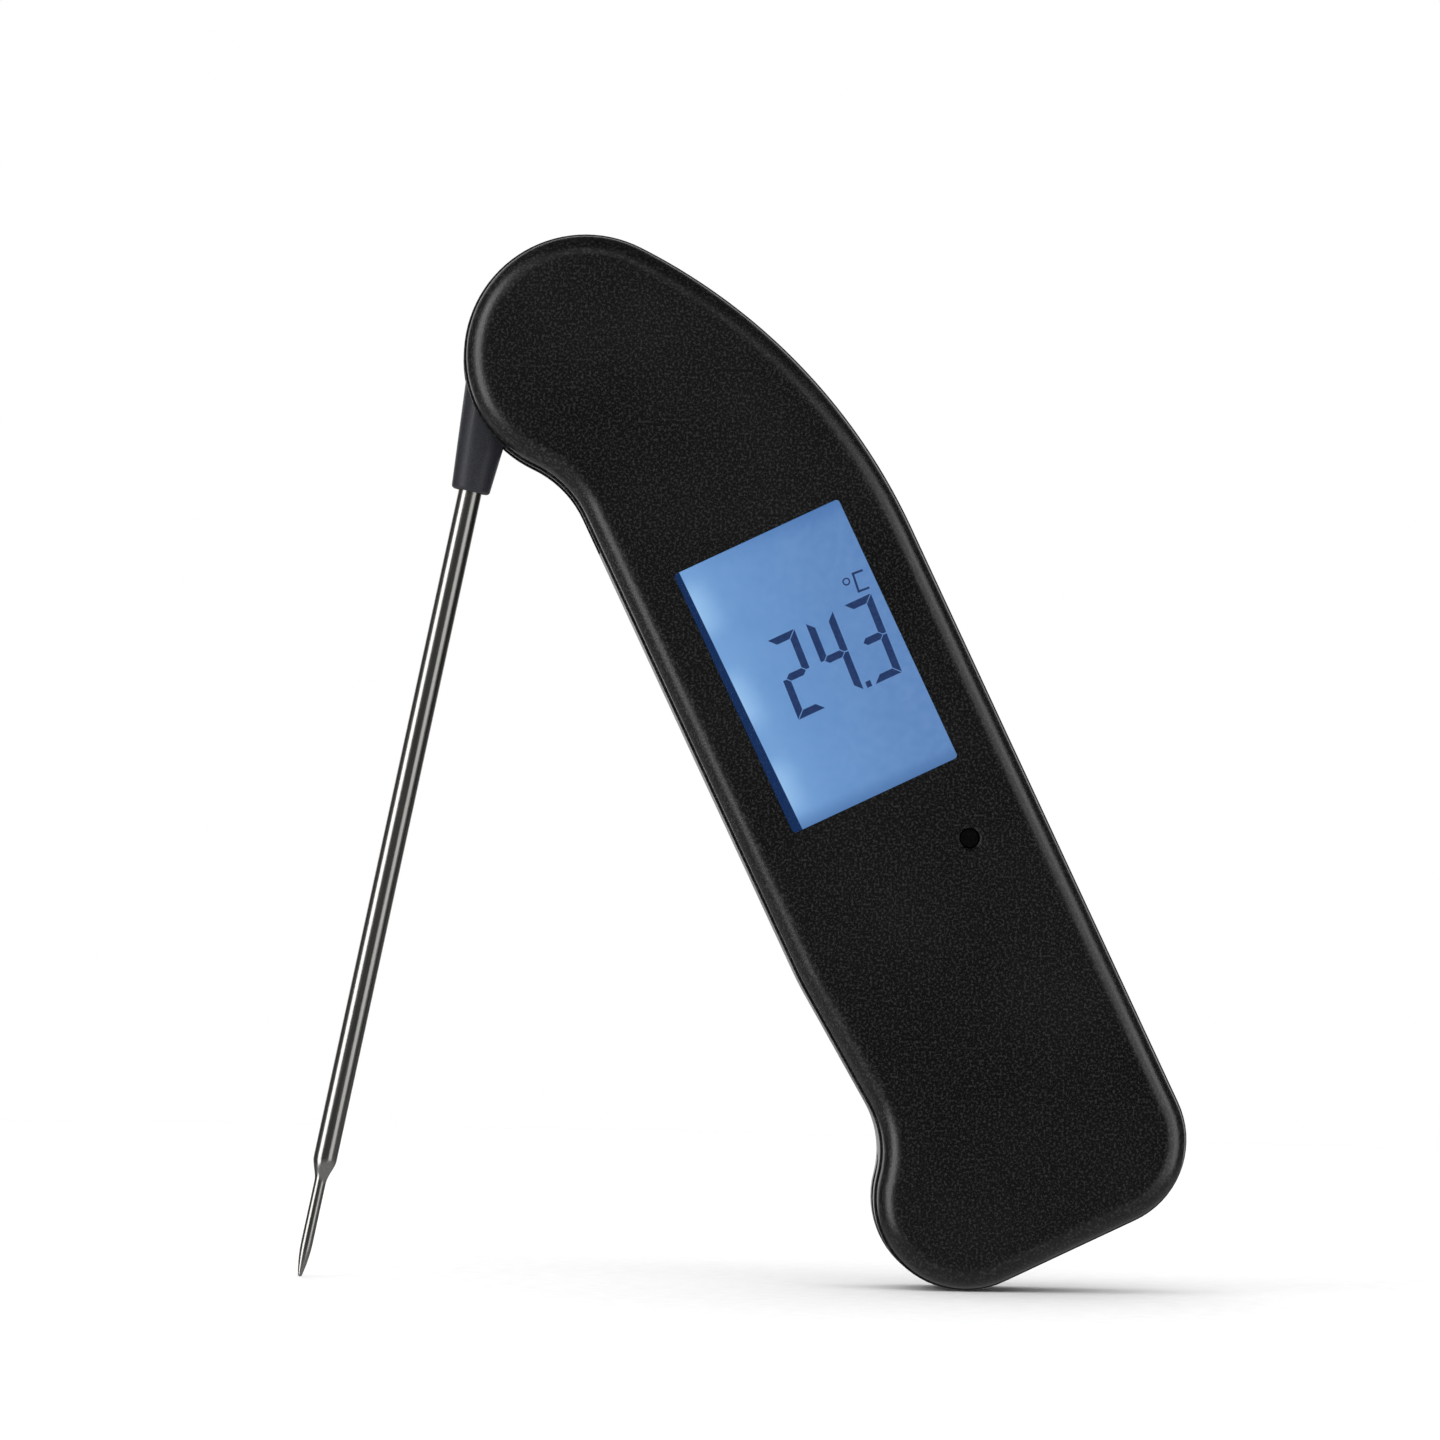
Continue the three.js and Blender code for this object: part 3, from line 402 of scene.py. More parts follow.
def drawn_metal(name, dark, light, gloss, turn, across=0.09, along=14.0, **shader_inputs):
    """Metal drawn or turned: fine lines run with the piece and streak its reflections."""
    made, tree, shader, place = start_material(name, Metallic=1.0, **shader_inputs)
    mapped = add(
        tree,
        "ShaderNodeMapping",
        {"Vector": in_frame(tree, place, turn), "Scale": (1 / across, 1 / across, 1 / along)},
    ).outputs["Vector"]
    lines = add(
        tree, "ShaderNodeTexNoise", {"Vector": mapped, "Scale": 1.0, "Detail": 3.0}
    ).outputs["Fac"]
    two_tone(tree, shader, lines, "Base Color", dark, light, 0.3, 0.7)
    two_tone(tree, shader, lines, "Roughness", gloss - 0.03, gloss + 0.05, 0.3, 0.7)
    bump = add(
        tree, "ShaderNodeBump", {"Height": lines, "Strength": 0.15, "Distance": 0.004 * MM}
    ).outputs["Normal"]
    tree.links.new(bump, shader.inputs["Normal"])
    return made


def grained(name, dark, light, size, low, high, depth=0.01, **shader_inputs):
    """A plain material with a fine grain in its colour, gloss and surface."""
    made, tree, shader, place = start_material(name, **shader_inputs)
    grain = add(
        tree, "ShaderNodeTexNoise", {"Vector": place, "Scale": per_mm(size), "Detail": 3.0}
    ).outputs["Fac"]
    two_tone(tree, shader, grain, "Base Color", dark, light, 0.3, 0.7)
    two_tone(tree, shader, grain, "Roughness", low, high, 0.3, 0.7)
    bump = add(
        tree, "ShaderNodeBump", {"Height": grain, "Strength": 0.3, "Distance": depth * MM}
    ).outputs["Normal"]
    tree.links.new(bump, shader.inputs["Normal"])
    return made


# Moulded ABS, spark-eroded finish: near black in the hollows of its grain as painted shade, dark
# grey on the tops as a painted highlight, with a broad soft sheen on rounded edges.
abs_black = moulded_plastic(
    "moulded_abs_black", "#020202", "#2e2e2f", 0.34, 0.034, 0.3, IOR=1.5, Specular_IOR_Level=0.7
)
# Moulded glass-filled nylon: a little lighter and bluer than the case, with a finer, satin grain,
# painted a little darker in its hollows and lighter on its tops as painted shade and highlight.
nylon_grey = moulded_plastic(
    "moulded_nylon_grey", "#33343a", "#404149", 0.2, 0.012, 0.42, IOR=1.5, Specular_IOR_Level=0.4
)
# Stainless tube, drawn and polished: long bright and dark stripes with faint streaks.
stainless = drawn_metal("polished_stainless_tube", "#a9a7a4", "#bebcb9", 0.22, OPEN - LEAN)
# Nickel plating on steel: slightly warm and soft, with small even marks.
nickel = drawn_metal(
    "nickel_plated_steel", "#b0aca4", "#c9c6bf", 0.24, -LEAN, across=0.3, along=0.3
)
# Free-cutting brass, turned: yellow, with fine rings round the insert.
brass = drawn_metal("turned_brass", "#a9843c", "#c29a4c", 0.28, -LEAN, across=1.5, along=0.08)
# Moulded silicone: dark and dull, with a faint bloom.
rubber = grained("silicone_rubber", "#1f2022", "#2a2b2d", 0.4, 0.65, 0.8)
# Moulded white ABS: a plain satin off-white.
white_plastic = grained("white_moulded_plastic", "#dcdcd6", "#e9e9e4", 0.4, 0.45, 0.6)
# Moulded epoxy of chip housings: sooty and finely pitted.
chip_epoxy = grained("epoxy_moulding_compound", "#121213", "#1d1d1e", 0.12, 0.45, 0.65, 0.02)
# Extruded fluoropolymer sleeve of the lead: waxy green.
sleeve_green = grained("ptfe_lead_sleeve", "#2a7038", "#358543", 0.5, 0.3, 0.45)
# Solder mask on glass-fibre board: deep glossy green with the weave just showing.
board_green = grained("solder_mask_on_fibreglass", "#0f4425", "#175a31", 0.8, 0.25, 0.4)
# Printed film shrunk over the cell: smooth and nearly black.
jacket_black = grained(
    "printed_cell_jacket", "#202329", "#262a30", 0.3, 0.26, 0.32, 0.002
)
# Smoked polycarbonate, dark enough to look like an open hole from outside.
smoked = grained(
    "smoked_polycarbonate",
    "#030304",
    "#070708",
    0.5,
    0.3,
    0.4,
    0.002,
    IOR=1.585,
    Specular_IOR_Level=0.2,
)


def clear_acrylic():
    """Hard-coated acrylic, cast: clear and almost flat, with the faintest ripple in its gloss."""
    made, tree, shader, place = start_material(
        "cast_clear_acrylic", IOR=1.49, Transmission_Weight=1.0
    )
    ripple = add(
        tree, "ShaderNodeTexNoise", {"Vector": place, "Scale": per_mm(6), "Detail": 1.0}
    ).outputs["Fac"]
    two_tone(tree, shader, ripple, "Base Color", "#f4f8fb", "#ffffff", 0.3, 0.7)
    two_tone(tree, shader, ripple, "Roughness", 0.02, 0.04, 0.3, 0.7)
    return made


def backlit_glass():
    """Liquid crystal glass over an edge-lit light guide: blue, brighter beside the three lamps at
    its left, falling off to the top and bottom, with a dark margin outside the guide."""
    made, tree, shader, place = start_material(
        "backlit_lcd_glass",
        Base_Color=linear("#05070b"),
        Roughness=0.25,
        Specular_IOR_Level=0.2,
        Emission_Strength=1.0,
    )
    axes = add(tree, "ShaderNodeSeparateXYZ", {"Vector": in_frame(tree, place, -LEAN)}).outputs
    x, z = axes["X"], axes["Z"]
    cloud = add(
        tree, "ShaderNodeTexNoise", {"Vector": place, "Scale": per_mm(1.2), "Detail": 4.0}
    ).outputs["Fac"]
    lean_in = add(
        tree, "ShaderNodeMath", {0: z, 1: GUIDE_LEAN, 2: x}, operation="MULTIPLY_ADD"
    ).outputs[0]
    turn = 2 * math.pi / LAMP_PITCH
    angle = add(
        tree,
        "ShaderNodeMath",
        {0: z, 1: turn, 2: -MIDDLE_LAMP * turn},
        operation="MULTIPLY_ADD",
    ).outputs[0]
    lamps = add(tree, "ShaderNodeMath", {0: angle}, operation="COSINE").outputs[0]

    colour = linear("#6d9bd3")
    # Each layer: what it follows, where it starts and is full, its most, what weakens it, its tone.
    for value, start, full, most, limit, tone in (
        (x, 2, 23, 1.0, None, "#618ac2"),
        (cloud, 0.2, 0.8, 0.16, None, "#8fb2df"),
        (x, 6.0, -2.0, 0.45, None, "#85b4ea"),
        (lamps, -1.0, 1.0, 0.9, (x, 3.2, -2.4), "#a8d2fa"),
        (z, -34.6, -31.0, 0.6, (x, -4, 23), "#3f6eac"),
        (z, -67.6, -70.6, 0.7, None, "#4a70a6"),
        (lean_in, -1.36, -1.44, 1.0, None, "#0f2d5a"),
    ):
        share = add(
            tree,
            "ShaderNodeMapRange",
            {"Value": value, "From Min": start, "From Max": full, "To Max": most},
            interpolation_type="SMOOTHSTEP",
        ).outputs["Result"]
        if limit:
            weaker = add(
                tree,
                "ShaderNodeMapRange",
                {"Value": limit[0], "From Min": limit[1], "From Max": limit[2]},
                interpolation_type="SMOOTHSTEP",
            ).outputs["Result"]
            share = add(
                tree, "ShaderNodeMath", {0: share, 1: weaker}, operation="MULTIPLY"
            ).outputs[0]
        colour = add(
            tree,
            "ShaderNodeMix",
            {MIX_FACTOR: share, MIX_A: colour, MIX_B: linear(tone)},
            data_type="RGBA",
        ).outputs[MIX_RESULT]
    tree.links.new(colour, shader.inputs["Emission Color"])
    return made


def lcd_ink():
    """Twisted liquid crystal: dark blue, with a little of the backlight leaking through."""
    made, tree, shader, place = start_material(
        "darkened_liquid_crystal",
        Base_Color=linear("#04060a"),
        Roughness=0.4,
        Specular_IOR_Level=0.1,
        Emission_Strength=1.0,
    )
    grain = add(
        tree, "ShaderNodeTexNoise", {"Vector": place, "Scale": per_mm(0.6), "Detail": 2.0}
    ).outputs["Fac"]
    two_tone(tree, shader, grain, "Emission Color", "#1f3460", "#273e6c", 0.3, 0.7)
    return made


acrylic = clear_acrylic()
lcd_glass = backlit_glass()
ink = lcd_ink()


# ---------------------------------------------------------------- case outline
def polar(x, z, radius, angle):
    return (x + radius * math.cos(math.radians(angle)), z + radius * math.sin(math.radians(angle)))


def heel_centre():
    """The heel's hollow touches the slanted side below the waist and the round of the foot."""
    turn = math.radians(WAIST_TURN)
    out = Vector((-math.cos(turn), -math.sin(turn)))
    along_side = Vector((-out.y, out.x))
    foot = Vector((FOOT_X, FOOT_END + FOOT))
    start = Vector((WAIST + LEFT, WAIST_Z)) + (WAIST + HEEL) * out - foot
    along = start.dot(along_side)
    span = (HEEL + FOOT) ** 2 - start.length_squared + along**2
    return start + (-along - math.sqrt(span)) * along_side + foot


def outline(grow):
    """The case's outline, anticlockwise from the front, moved outwards by grow."""
    shoulder = (RIGHT - SHOULDER, -math.sqrt((SHOULDER - HEAD) ** 2 - (SHOULDER - RIGHT) ** 2))
    shoulder_turn = math.degrees(math.atan2(-shoulder[1], -shoulder[0]))
    neck = (LEFT - NECK, -math.sqrt((HEAD + NECK) ** 2 - (NECK - LEFT) ** 2))
    neck_turn = math.degrees(math.atan2(-neck[1], -neck[0]))
    heel = heel_centre()
    foot = (FOOT_X, FOOT_END + FOOT)
    heel_turn = math.degrees(math.atan2(foot[1] - heel.y, foot[0] - heel.x))
    arcs = (
        (RIGHT - CORNER, FOOT_END + CORNER, CORNER + grow, -90, 0),
        (*shoulder, SHOULDER + grow, 0, shoulder_turn),
        (0, 0, HEAD + grow, shoulder_turn, 180 + neck_turn),
        (*neck, NECK - grow, neck_turn, 0),
        (WAIST + LEFT, WAIST_Z, WAIST + grow, 180, 180 + WAIST_TURN),
        (heel.x, heel.y, HEEL - grow, WAIST_TURN, heel_turn),
        (*foot, FOOT + grow, 180 + heel_turn, 270),
    )
    steps = []
    for x, z, radius, start, end in arcs:
        steps += [polar(x, z, radius, start), (x, z, end - start)]
    return steps


def slab(name, grow, y0, y1, edge=0.0, back_edge=0.0, segments=8):
    return thicken(draw(name, y0, *outline(grow)), y1 - y0, edge, back_edge, segments)


# ---------------------------------------------------------------- case shells
def cavity(y0, y1, grow=0.0):
    """The room inside the case, apart from the probe's channel and the hub's pocket."""
    low, high = sorted((y0 - 1, y1 + 1))
    return cut(
        slab("cavity", grow - WALL, y0, y1),
        block("channel_side", -30, CAVITY_LEFT - grow, low, high, -150, 30),
        disc("pocket_side", 0, 0, low, high, POCKET - grow, sides=96),
    )


def boss_ring(name, radius, y0, y1):
    return disc(name, 0, 0, *sorted((y0, y1)), radius)


def probe_room():
    """What the folding probe sweeps and parks in, less the boss it turns on."""
    start = polar(0, 0, LIP_RADIUS + 8.85, SLOT_FROM)
    slot = draw("slot", -SLOT_FACE, (0, 0), start, (0, 0, SLOT_TO - SLOT_FROM), chord=2)
    thicken(slot, 2 * SLOT_FACE)
    end = SLEEVE_REACH - SLEEVE_END - 1.2
    sides = (GROOVE_FLOOR, end), (GROOVE_FLOOR, SLEEVE_REACH), (GROOVE_TOP, 0)
    groove = draw("groove", -SLOT_FACE, (OUTSIDE, 0), (OUTSIDE, end), *sides)
    thicken(groove, 2 * SLOT_FACE)
    channel = STEM + RUNNING
    profile = [(0, PARK_END), (channel, PARK_END), (channel, 0), (0, 0)]
    bar = turned("bar", STEM_X, 0, profile, 32)
    opening = block("opening", OUTSIDE, STEM_X, -channel, channel, PARK_END, 0)
    room = disc("lips", 0, 0, -SLOT_FACE, SLOT_FACE, LIP_RADIUS, sides=128)
    join(room, slot, groove, bar, opening)
    return cut(room, disc("boss", 0, 0, -FACE, FACE, BOSS))


def countersink(x, z, radius, end=-1.0):
    """The clearance hole of a countersunk screw, open at the back."""
    top = FACE - SCREW_SINK
    cone = top - radius * SCREW_HEAD_DEPTH - SEAT
    wide = radius * SCREW_HEAD_WIDTH
    return join(
        disc("hole", x, z, end, top, radius + SEAT, sides=32),
        disc("cone", x, z, cone, top + SEAT, radius + SEAT, wide + 2 * SEAT, 48),
        disc("mouth", x, z, top, top + 3, wide + SEAT, sides=48),
    )


def shell(name, side):
    """Half of the case's outside: the rounded body with the proud band round it at the seam."""
    return join(
        slab(name, -PROUD, side * SEAM, side * FACE, EDGE, segments=10),
        slab("band", 0, side * SEAM, side * (BAND + SEAM), 0.15, 0.1, segments=2),
    )


def front_shell():
    left, right, bottom, top = WINDOW
    made = cut(
        shell("front_shell", -1),
        cavity(1, -INNER_FACE),
        boss_ring("pad", HUB_RADIUS - 0.6, -PAD_FACE, -SLOT_FACE + SEAT),
        boss_ring("well", PAD_BORE, -WELL_FLOOR, -PAD_FACE + SEAT),
    )
    join(made, boss_ring("pivot_boss", BOSS, -WELL_FLOOR - 0.1, -SEAM))
    for x, z in CASE_SCREWS:
        join(made, disc("boss", x, z, -INNER_FACE - 0.1, -SEAM, CASE_BOSS, sides=32))
        cut(made, disc("insert_hole", x, z, INSERT_END, 1, 2.05, sides=32))
    cut(
        made,
        disc("pivot_hole", 0, 0, INSERT_END, 1, 2.3, sides=32),
        probe_room(),
        rounded_plate("window", left, right, bottom, top, 0.6, -FACE - 1, 0),
        disc("sensor_hole", *SENSOR, -FACE - 1, 0, SENSOR_HOLE, sides=48),
        disc("sensor_rim", *SENSOR, -FACE - 0.1, -FACE + 0.25, SENSOR_HOLE + 0.35, SENSOR_HOLE, 48),
    )
    return finish(made, CASE, "case", "case_plastic", abs_black, "front_case")


def grown_plate(name, area, grow, corner, y0, y1, edge=0.0, segments=4):
    """A rounded plate over an area (left, right, bottom, top), with a margin round it."""
    x0, x1, z0, z1 = area
    return rounded_plate(
        name, x0 - grow, x1 + grow, z0 - grow, z1 + grow, corner + grow, y0, y1, edge, segments
    )


def tray_walls():
    """The battery's tray, the switches' recess beside it, and the lid's bed."""
    left, right, bottom, top = TRAY
    inside = INNER_FACE + 0.1
    floor = CELL_Y - CELL - SEAT - TRAY_WALL
    sides = (left - TRAY_WALL, right + TRAY_WALL)
    return (
        block("tray", *sides, floor, inside, bottom - TRAY_WALL, top + TRAY_WALL),
        block("switch_recess", *sides, 1.8, inside, top, top + 10.8),
        grown_plate("bed", LID, TRAY_WALL, LID_CORNER, LID_FLOOR - 1.9, inside),
    )


def tray_rooms():
    """What is cut from the back for the cell, the switches, the lid and its seal."""
    left, right, bottom, top = TRAY
    outer = (left - 1.7, right + 1.7, bottom - 1.7, top + 11.3)
    inner = (left - 0.5, right + 0.5, bottom - 0.5, top + 10.1)
    seal = cut(
        rounded_plate("seal_groove", *outer, 2.7, 7.1, FACE),
        rounded_plate("seal_island", *inner, 1.5, 0, FACE + 1),
    )
    return (
        block("cell_room", left, right, CELL_Y - CELL - SEAT, FACE, bottom, top),
        block("switch_room", left, right, 3.0, FACE, top - 1, top + 9.6),
        grown_plate("lid_room", LID, 0, LID_CORNER, LID_FLOOR, FACE + 1),
        grown_plate("lid_rim", LID, 0.2, LID_CORNER, FACE + 1, FACE - 0.2, 0.2, 1),
        seal,
        block("switch_opening", 5.6, 15.2, -1.0, 3.3, -73.3, -67.9),
    )


def back_shell():
    made = cut(
        shell("back_shell", 1),
        cavity(-1, INNER_FACE),
        boss_ring("pad", HUB_RADIUS - 0.6, SLOT_FACE - SEAT, PAD_FACE),
    )
    join(made, boss_ring("pivot_boss", BOSS, SEAM, INNER_FACE + 0.1), *tray_walls())
    for x, z in CASE_SCREWS:
        join(made, disc("boss", x, z, SEAM, INNER_FACE + 0.1, CASE_BOSS, sides=32))
        cut(made, countersink(x, z, CASE_SCREW))
    for x, z in LID_SCREWS:
        join(made, disc("boss", x, z, 2.0, INNER_FACE + 0.1, 2.7, sides=32))
        cut(made, disc("insert_hole", x, z, 2.8, FACE, 1.8, sides=32))
    cut(made, countersink(0, 0, PIVOT_SCREW), probe_room(), *tray_rooms())
    return finish(made, CASE, "case", "case_plastic", abs_black, "back_case")


front_shell()
back_shell()


# ---------------------------------------------------------------- display
def window_lens():
    left, right, bottom, top = WINDOW
    rim, gap = 1.4, 0.04
    pane = (left + gap, right - gap, bottom + gap, top - gap)
    flange = (left - rim, right + rim, bottom - rim, top + rim)
    lens = join(
        rounded_plate("window_lens", *pane, 0.5, -6.8, -FACE + SEAT),
        rounded_plate("lens_rim", *flange, 0.6, -7.0, -6.2),
    )
    return finish(lens, CASE, "case", "clear_plastic", acrylic, "display_lens")


def lcd_panel():
    left, right, bottom, top = WINDOW
    area = (left - 1, right + 1, bottom - 1, top + 1)
    panel = rounded_plate("lcd_panel", *area, 0.2, PANEL_BACK, PANEL_FACE, 0.05, 1)
    return finish(panel, CASE, "case", "display_glass", lcd_glass, "lcd_glass")


# Seven-segment figures: each cell leans to the right as it rises.
UNIT_STROKE = 0.3
CELL_WIDTH, CELL_HEIGHT, STROKE, GAP, SLANT = 4.0, 11.4, 1.0, 0.08, 0.055
SEGMENTS = {"2": "abged", "4": "fgbc", "3": "abgcd"}


def segment(key):
    """The corners of one segment, in the cell's upright frame."""
    w, h, t, g = CELL_WIDTH, CELL_HEIGHT, STROKE, GAP
    half = h / 2
    top = [(g, h), (w - g, h), (w - t - g, h - t), (t + g, h - t)]
    right = [
        (w, h - g),
        (w, half + g),
        (w - t / 2, half + g),
        (w - t, half + t / 2 + g),
        (w - t, h - t - g),
    ]
    if key == "a":
        return top
    if key == "d":
        return [(x, h - z) for x, z in top]
    if key == "b":
        return right
    if key == "c":
        return [(x, h - z) for x, z in right]
    if key == "f":
        return [(w - x, z) for x, z in right]
    if key == "e":
        return [(w - x, h - z) for x, z in right]
    return [
        (t / 2 + g, half),
        (t + g, half + t / 2),
        (w - t - g, half + t / 2),
        (w - t / 2 - g, half),
        (w - t - g, half - t / 2),
        (t + g, half - t / 2),
    ]


def mark(corners):
    """A flat dark shape that stands just off the panel."""
    return thicken(draw("mark", FIGURE_BACK, *corners), -FIGURE_DEPTH)


def figure(corners, x):
    """A stroke of a figure whose cell starts at x."""
    return mark([(x + a + b * SLANT, FIGURE_BASE + b) for a, b in corners])


def lcd_figures():
    """The reading, its point, and the sign for degrees Celsius beside it."""
    marks = []
    for key, x in (("2", 5.25), ("4", 10.95), ("3", 16.65)):
        marks += [figure(segment(stroke), x) for stroke in SEGMENTS[key]]
    marks.append(figure([(0, 0), (0.72, 0), (0.72, 0.85), (0, 0.85)], 15.5))
    corners = [Vector(at) for at in ((21.45, -41.9), (20.2, -41.8), (19.9, -44.3), (21.3, -44.4))]
    for start, end in zip(corners, corners[1:]):
        run = (end - start).normalized() * UNIT_STROKE / 2
        side = Vector((-run.y, run.x))
        start, end = start - run, end + run
        ends = (start + side, end + side, end - side, start - side)
        marks.append(mark([tuple(at) for at in ends]))
    front = FIGURE_BACK - FIGURE_DEPTH
    ring = cut(
        disc("ring", 18.95, -42.4, front, FIGURE_BACK, 0.54, sides=24),
        disc("ring_hole", 18.95, -42.4, front - 0.1, FIGURE_BACK + 0.1, 0.34, sides=24),
    )
    made = marks[0]
    made.name = made.data.name = "lcd_figures"
    bpy.ops.object.select_all(action="DESELECT")
    for piece in (*marks, ring):
        piece.select_set(True)
    bpy.context.view_layer.objects.active = made
    bpy.ops.object.join()
    return finish(made, CASE, "case", "display_glass", ink)


def light_pipe():
    x, z = SENSOR
    pipe = join(
        disc("sensor_light_pipe", x, z, -FACE + 0.8, -3.4, SENSOR_HOLE - SEAT, sides=32),
        disc("collar", x, z, -INNER_FACE + SEAT, -INNER_FACE + 1, 2.1, sides=32),
    )
    return finish(pipe, CASE, "case", "clear_plastic", smoked, "light_pipe")


window_lens()
lcd_panel()
lcd_figures()
light_pipe()


# ---------------------------------------------------------------- probe
def hub_and_sleeve():
    hub = disc("hub_and_sleeve", 0, 0, -HUB_FACE, HUB_FACE, HUB_RADIUS, sides=128)
    edit(hub, "EDGE")
    choose(hub, "edges", lambda e: abs(e.verts[0].co.y - e.verts[1].co.y) < 1e-4)
    bpy.ops.mesh.bevel(offset=0.5, segments=4, affect="EDGES")
    close_up()
    soft = 0.5
    round_off = [
        polar(SLEEVE_END - soft, SLEEVE_REACH + soft, soft, a) for a in range(-90, 1, 15)
    ]
    profile = [(0, SLEEVE_REACH), *round_off, (SLEEVE_TOP, 0), (0, 0)]
    sleeve = turned("sleeve", STEM_X, 0, profile, 64)
    keep(sleeve, block("sleeve_sides", -22.5, 0, -HUB_FACE + SEAM, HUB_FACE - SEAM, -44, 1))
    bore, collar = STEM + SEAT, 2.6
    room = [
        (0, SLEEVE_REACH - 1),
        (bore, SLEEVE_REACH - 1),
        (bore, -4.4),
        (collar, -4.4),
        (collar, -1),
        (bore, -1),
        (bore, 3.2),
        (0, 3.2),
    ]
    cut(
        join(hub, sleeve),
        turned("stem_room", STEM_X, 0, room, 32),
        disc("pivot_bore", 0, 0, -4, 4, HUB_BORE, sides=64),
        block("lead_way", STEM_X, -6.1, -0.9, 0.9, 1.7, 3.2),
        disc("lead_hole", -6.9, 2.6, -4, 0.9, 0.8, sides=24),
        disc("magnet_room", 4.8, -11.8, -4, -HUB_FACE + 2.4, 1.7, sides=32),
    )
    return finish(hub, PROBE, "probe", "hub_plastic", nylon_grey, "probe_hub", angle=38)


def probe_needle():
    """The steel stem: a thin point, a narrow tip, a swaged shoulder and the full-width tube."""
    point = [(0, POINT_END)]
    for a in (0.4, 0.8, 1.2, 1.5):
        point.append((POINT * math.sin(a), POINT_END + POINT * (1 - math.cos(a))))
    for share in (0.15, 0.35, 0.6, 0.8, 1.0):
        radius = POINT + (TIP - POINT) * math.sin(share * math.pi / 2) ** 0.9
        point.append((radius, POINT_END + POINT + 4.4 * share))
    point += [(TIP, -122), (TIP, -116.9)]
    swage = []
    for share in (0.0, 0.12, 0.25, 0.4, 0.5, 0.6, 0.75, 0.88, 1.0):
        radius = TIP + (STEM - TIP) * (1 - math.cos(math.pi * share)) / 2
        swage.append((radius, -116.6 + 3.4 * share))
    tube = [(STEM, -112.6), (STEM, -80), (STEM, -40), (STEM, -0.8)]
    tube += [(STEM_BORE, -0.8), (STEM_BORE, -113.3), (0, -113.9)]
    needle = turned("probe_needle", STEM_X, 0, [*point, *swage, *tube], 48)
    return finish(needle, PROBE, "probe", "stainless", stainless, "probe_stem", angle=40)


hub_and_sleeve()
probe_needle()


# ---------------------------------------------------------------- battery
def battery_lid():
    """The battery cover: a plate with a rim into the tray, screw holes and a grip at its foot."""
    left, right, bottom, top = TRAY
    lid = grown_plate("battery_lid", LID, -SEAT, LID_CORNER, LID_FLOOR + SEAT, FACE, 0.35, 4)
    outer = (left + 0.2, right - 0.2, bottom + 0.2, top + 9.4)
    inner = (left + 1.3, right - 1.3, bottom + 1.3, top + 8.3)
    rim = cut(
        rounded_plate("lid_rim", *outer, 1, 7.4, LID_FLOOR + 0.3),
        rounded_plate("lid_rim_room", *inner, 0.6, 7, 9),
    )
    join(lid, rim)
    for x, z in LID_SCREWS:
        cut(lid, countersink(x, z, LID_SCREW, 0))
    for z in (-120.4, -122.3, -124.2):
        groove = (6.4, 14.4, z - 0.45, z + 0.45)
        cut(lid, rounded_plate("grip", *groove, 0.44, FACE + 1, FACE - 0.35, 0.2, 2))
    return finish(lid, CASE, "battery_cover", "case_plastic", abs_black, "battery_cover")


def cross_screw(radius, tip, name):
    """A countersunk screw with a tapered cross recess, at the pivot."""
    top = FACE - SCREW_SINK
    neck = top - radius * SCREW_HEAD_DEPTH
    made = disc(name, 0, 0, neck, top, radius, radius * SCREW_HEAD_WIDTH, 48)
    edit(made, "EDGE")
    choose(made, "edges", lambda e: all(v.co.y > top - 1e-3 for v in e.verts))
    bpy.ops.mesh.bevel(offset=radius * 0.08, segments=2, affect="EDGES")
    close_up()
    join(made, disc("shank", 0, 0, tip, neck + 0.1, radius, sides=32))
    arm, width = radius * 1.15, radius * 0.22
    for x, z in ((arm, width), (width, arm)):
        wing = block("wing", -x, x, top - radius * 0.7, top + 1, -z, z)
        edit(wing, "FACE")
        choose(wing, "faces", lambda f: f.normal.y < -0.9)
        bpy.ops.transform.resize(value=(0.7, 1, 0.7))
        bpy.ops.object.mode_set(mode="OBJECT")
        cut(made, wing)
    return made


def screws(places, radius, tip, body, name):
    """Copies of one screw, each over its own CAD node."""
    first = cross_screw(radius, tip, name + "_1")
    for i, (x, z) in enumerate(places):
        screw = first if i + 1 == len(places) else first.copy()
        if screw is not first:
            screw.data = first.data.copy()
            bpy.context.scene.collection.objects.link(screw)
        node = f"{name}_screw_{i + 1}" if len(places) > 1 else f"{name}_screw"
        screw.name = screw.data.name = node + "_turned"
        finish(screw, CASE @ Matrix.Translation((x, 0, z)), body, "nickel", nickel, node)


def battery_cell():
    """A size AAA cell: a printed jacket, shrunk over the rims of a nickel-plated can."""
    bottom, top, can = -121.2, -77.9, 3.58
    lip = bottom + 0.05
    low_rim = [(3.6, lip), (4.9, lip), (5.12, bottom + 0.16), (CELL, bottom + 0.5)]
    high_rim = [(CELL, top - 0.5), (5.1, top - 0.15), (4.8, top - 0.02), (4.2, top - 0.02)]
    inside = [(4.2, top - 0.2), (3.6, top - 0.2), (3.6, lip)]
    profile = [*low_rim, (CELL, -100), *high_rim, *inside]
    jacket = turned("battery_jacket", MIDDLE, CELL_Y, profile)
    end = [(0, bottom + 0.2), (3.0, bottom + 0.2), (3.3, bottom), (can, bottom + 0.1)]
    side = [(can, top - 0.3), (can, top - 0.1), (2.4, top)]
    nub = [(1.9, top + 0.1), (1.88, top + 0.8), (1.7, top + 0.97), (0, top + 1.0)]
    can = turned("battery_can", MIDDLE, CELL_Y, [*end, *side, *nub])
    finish(jacket, CASE, "case", "cell_jacket", jacket_black, "battery_cell")
    finish(can, CASE, "case", "nickel", nickel)


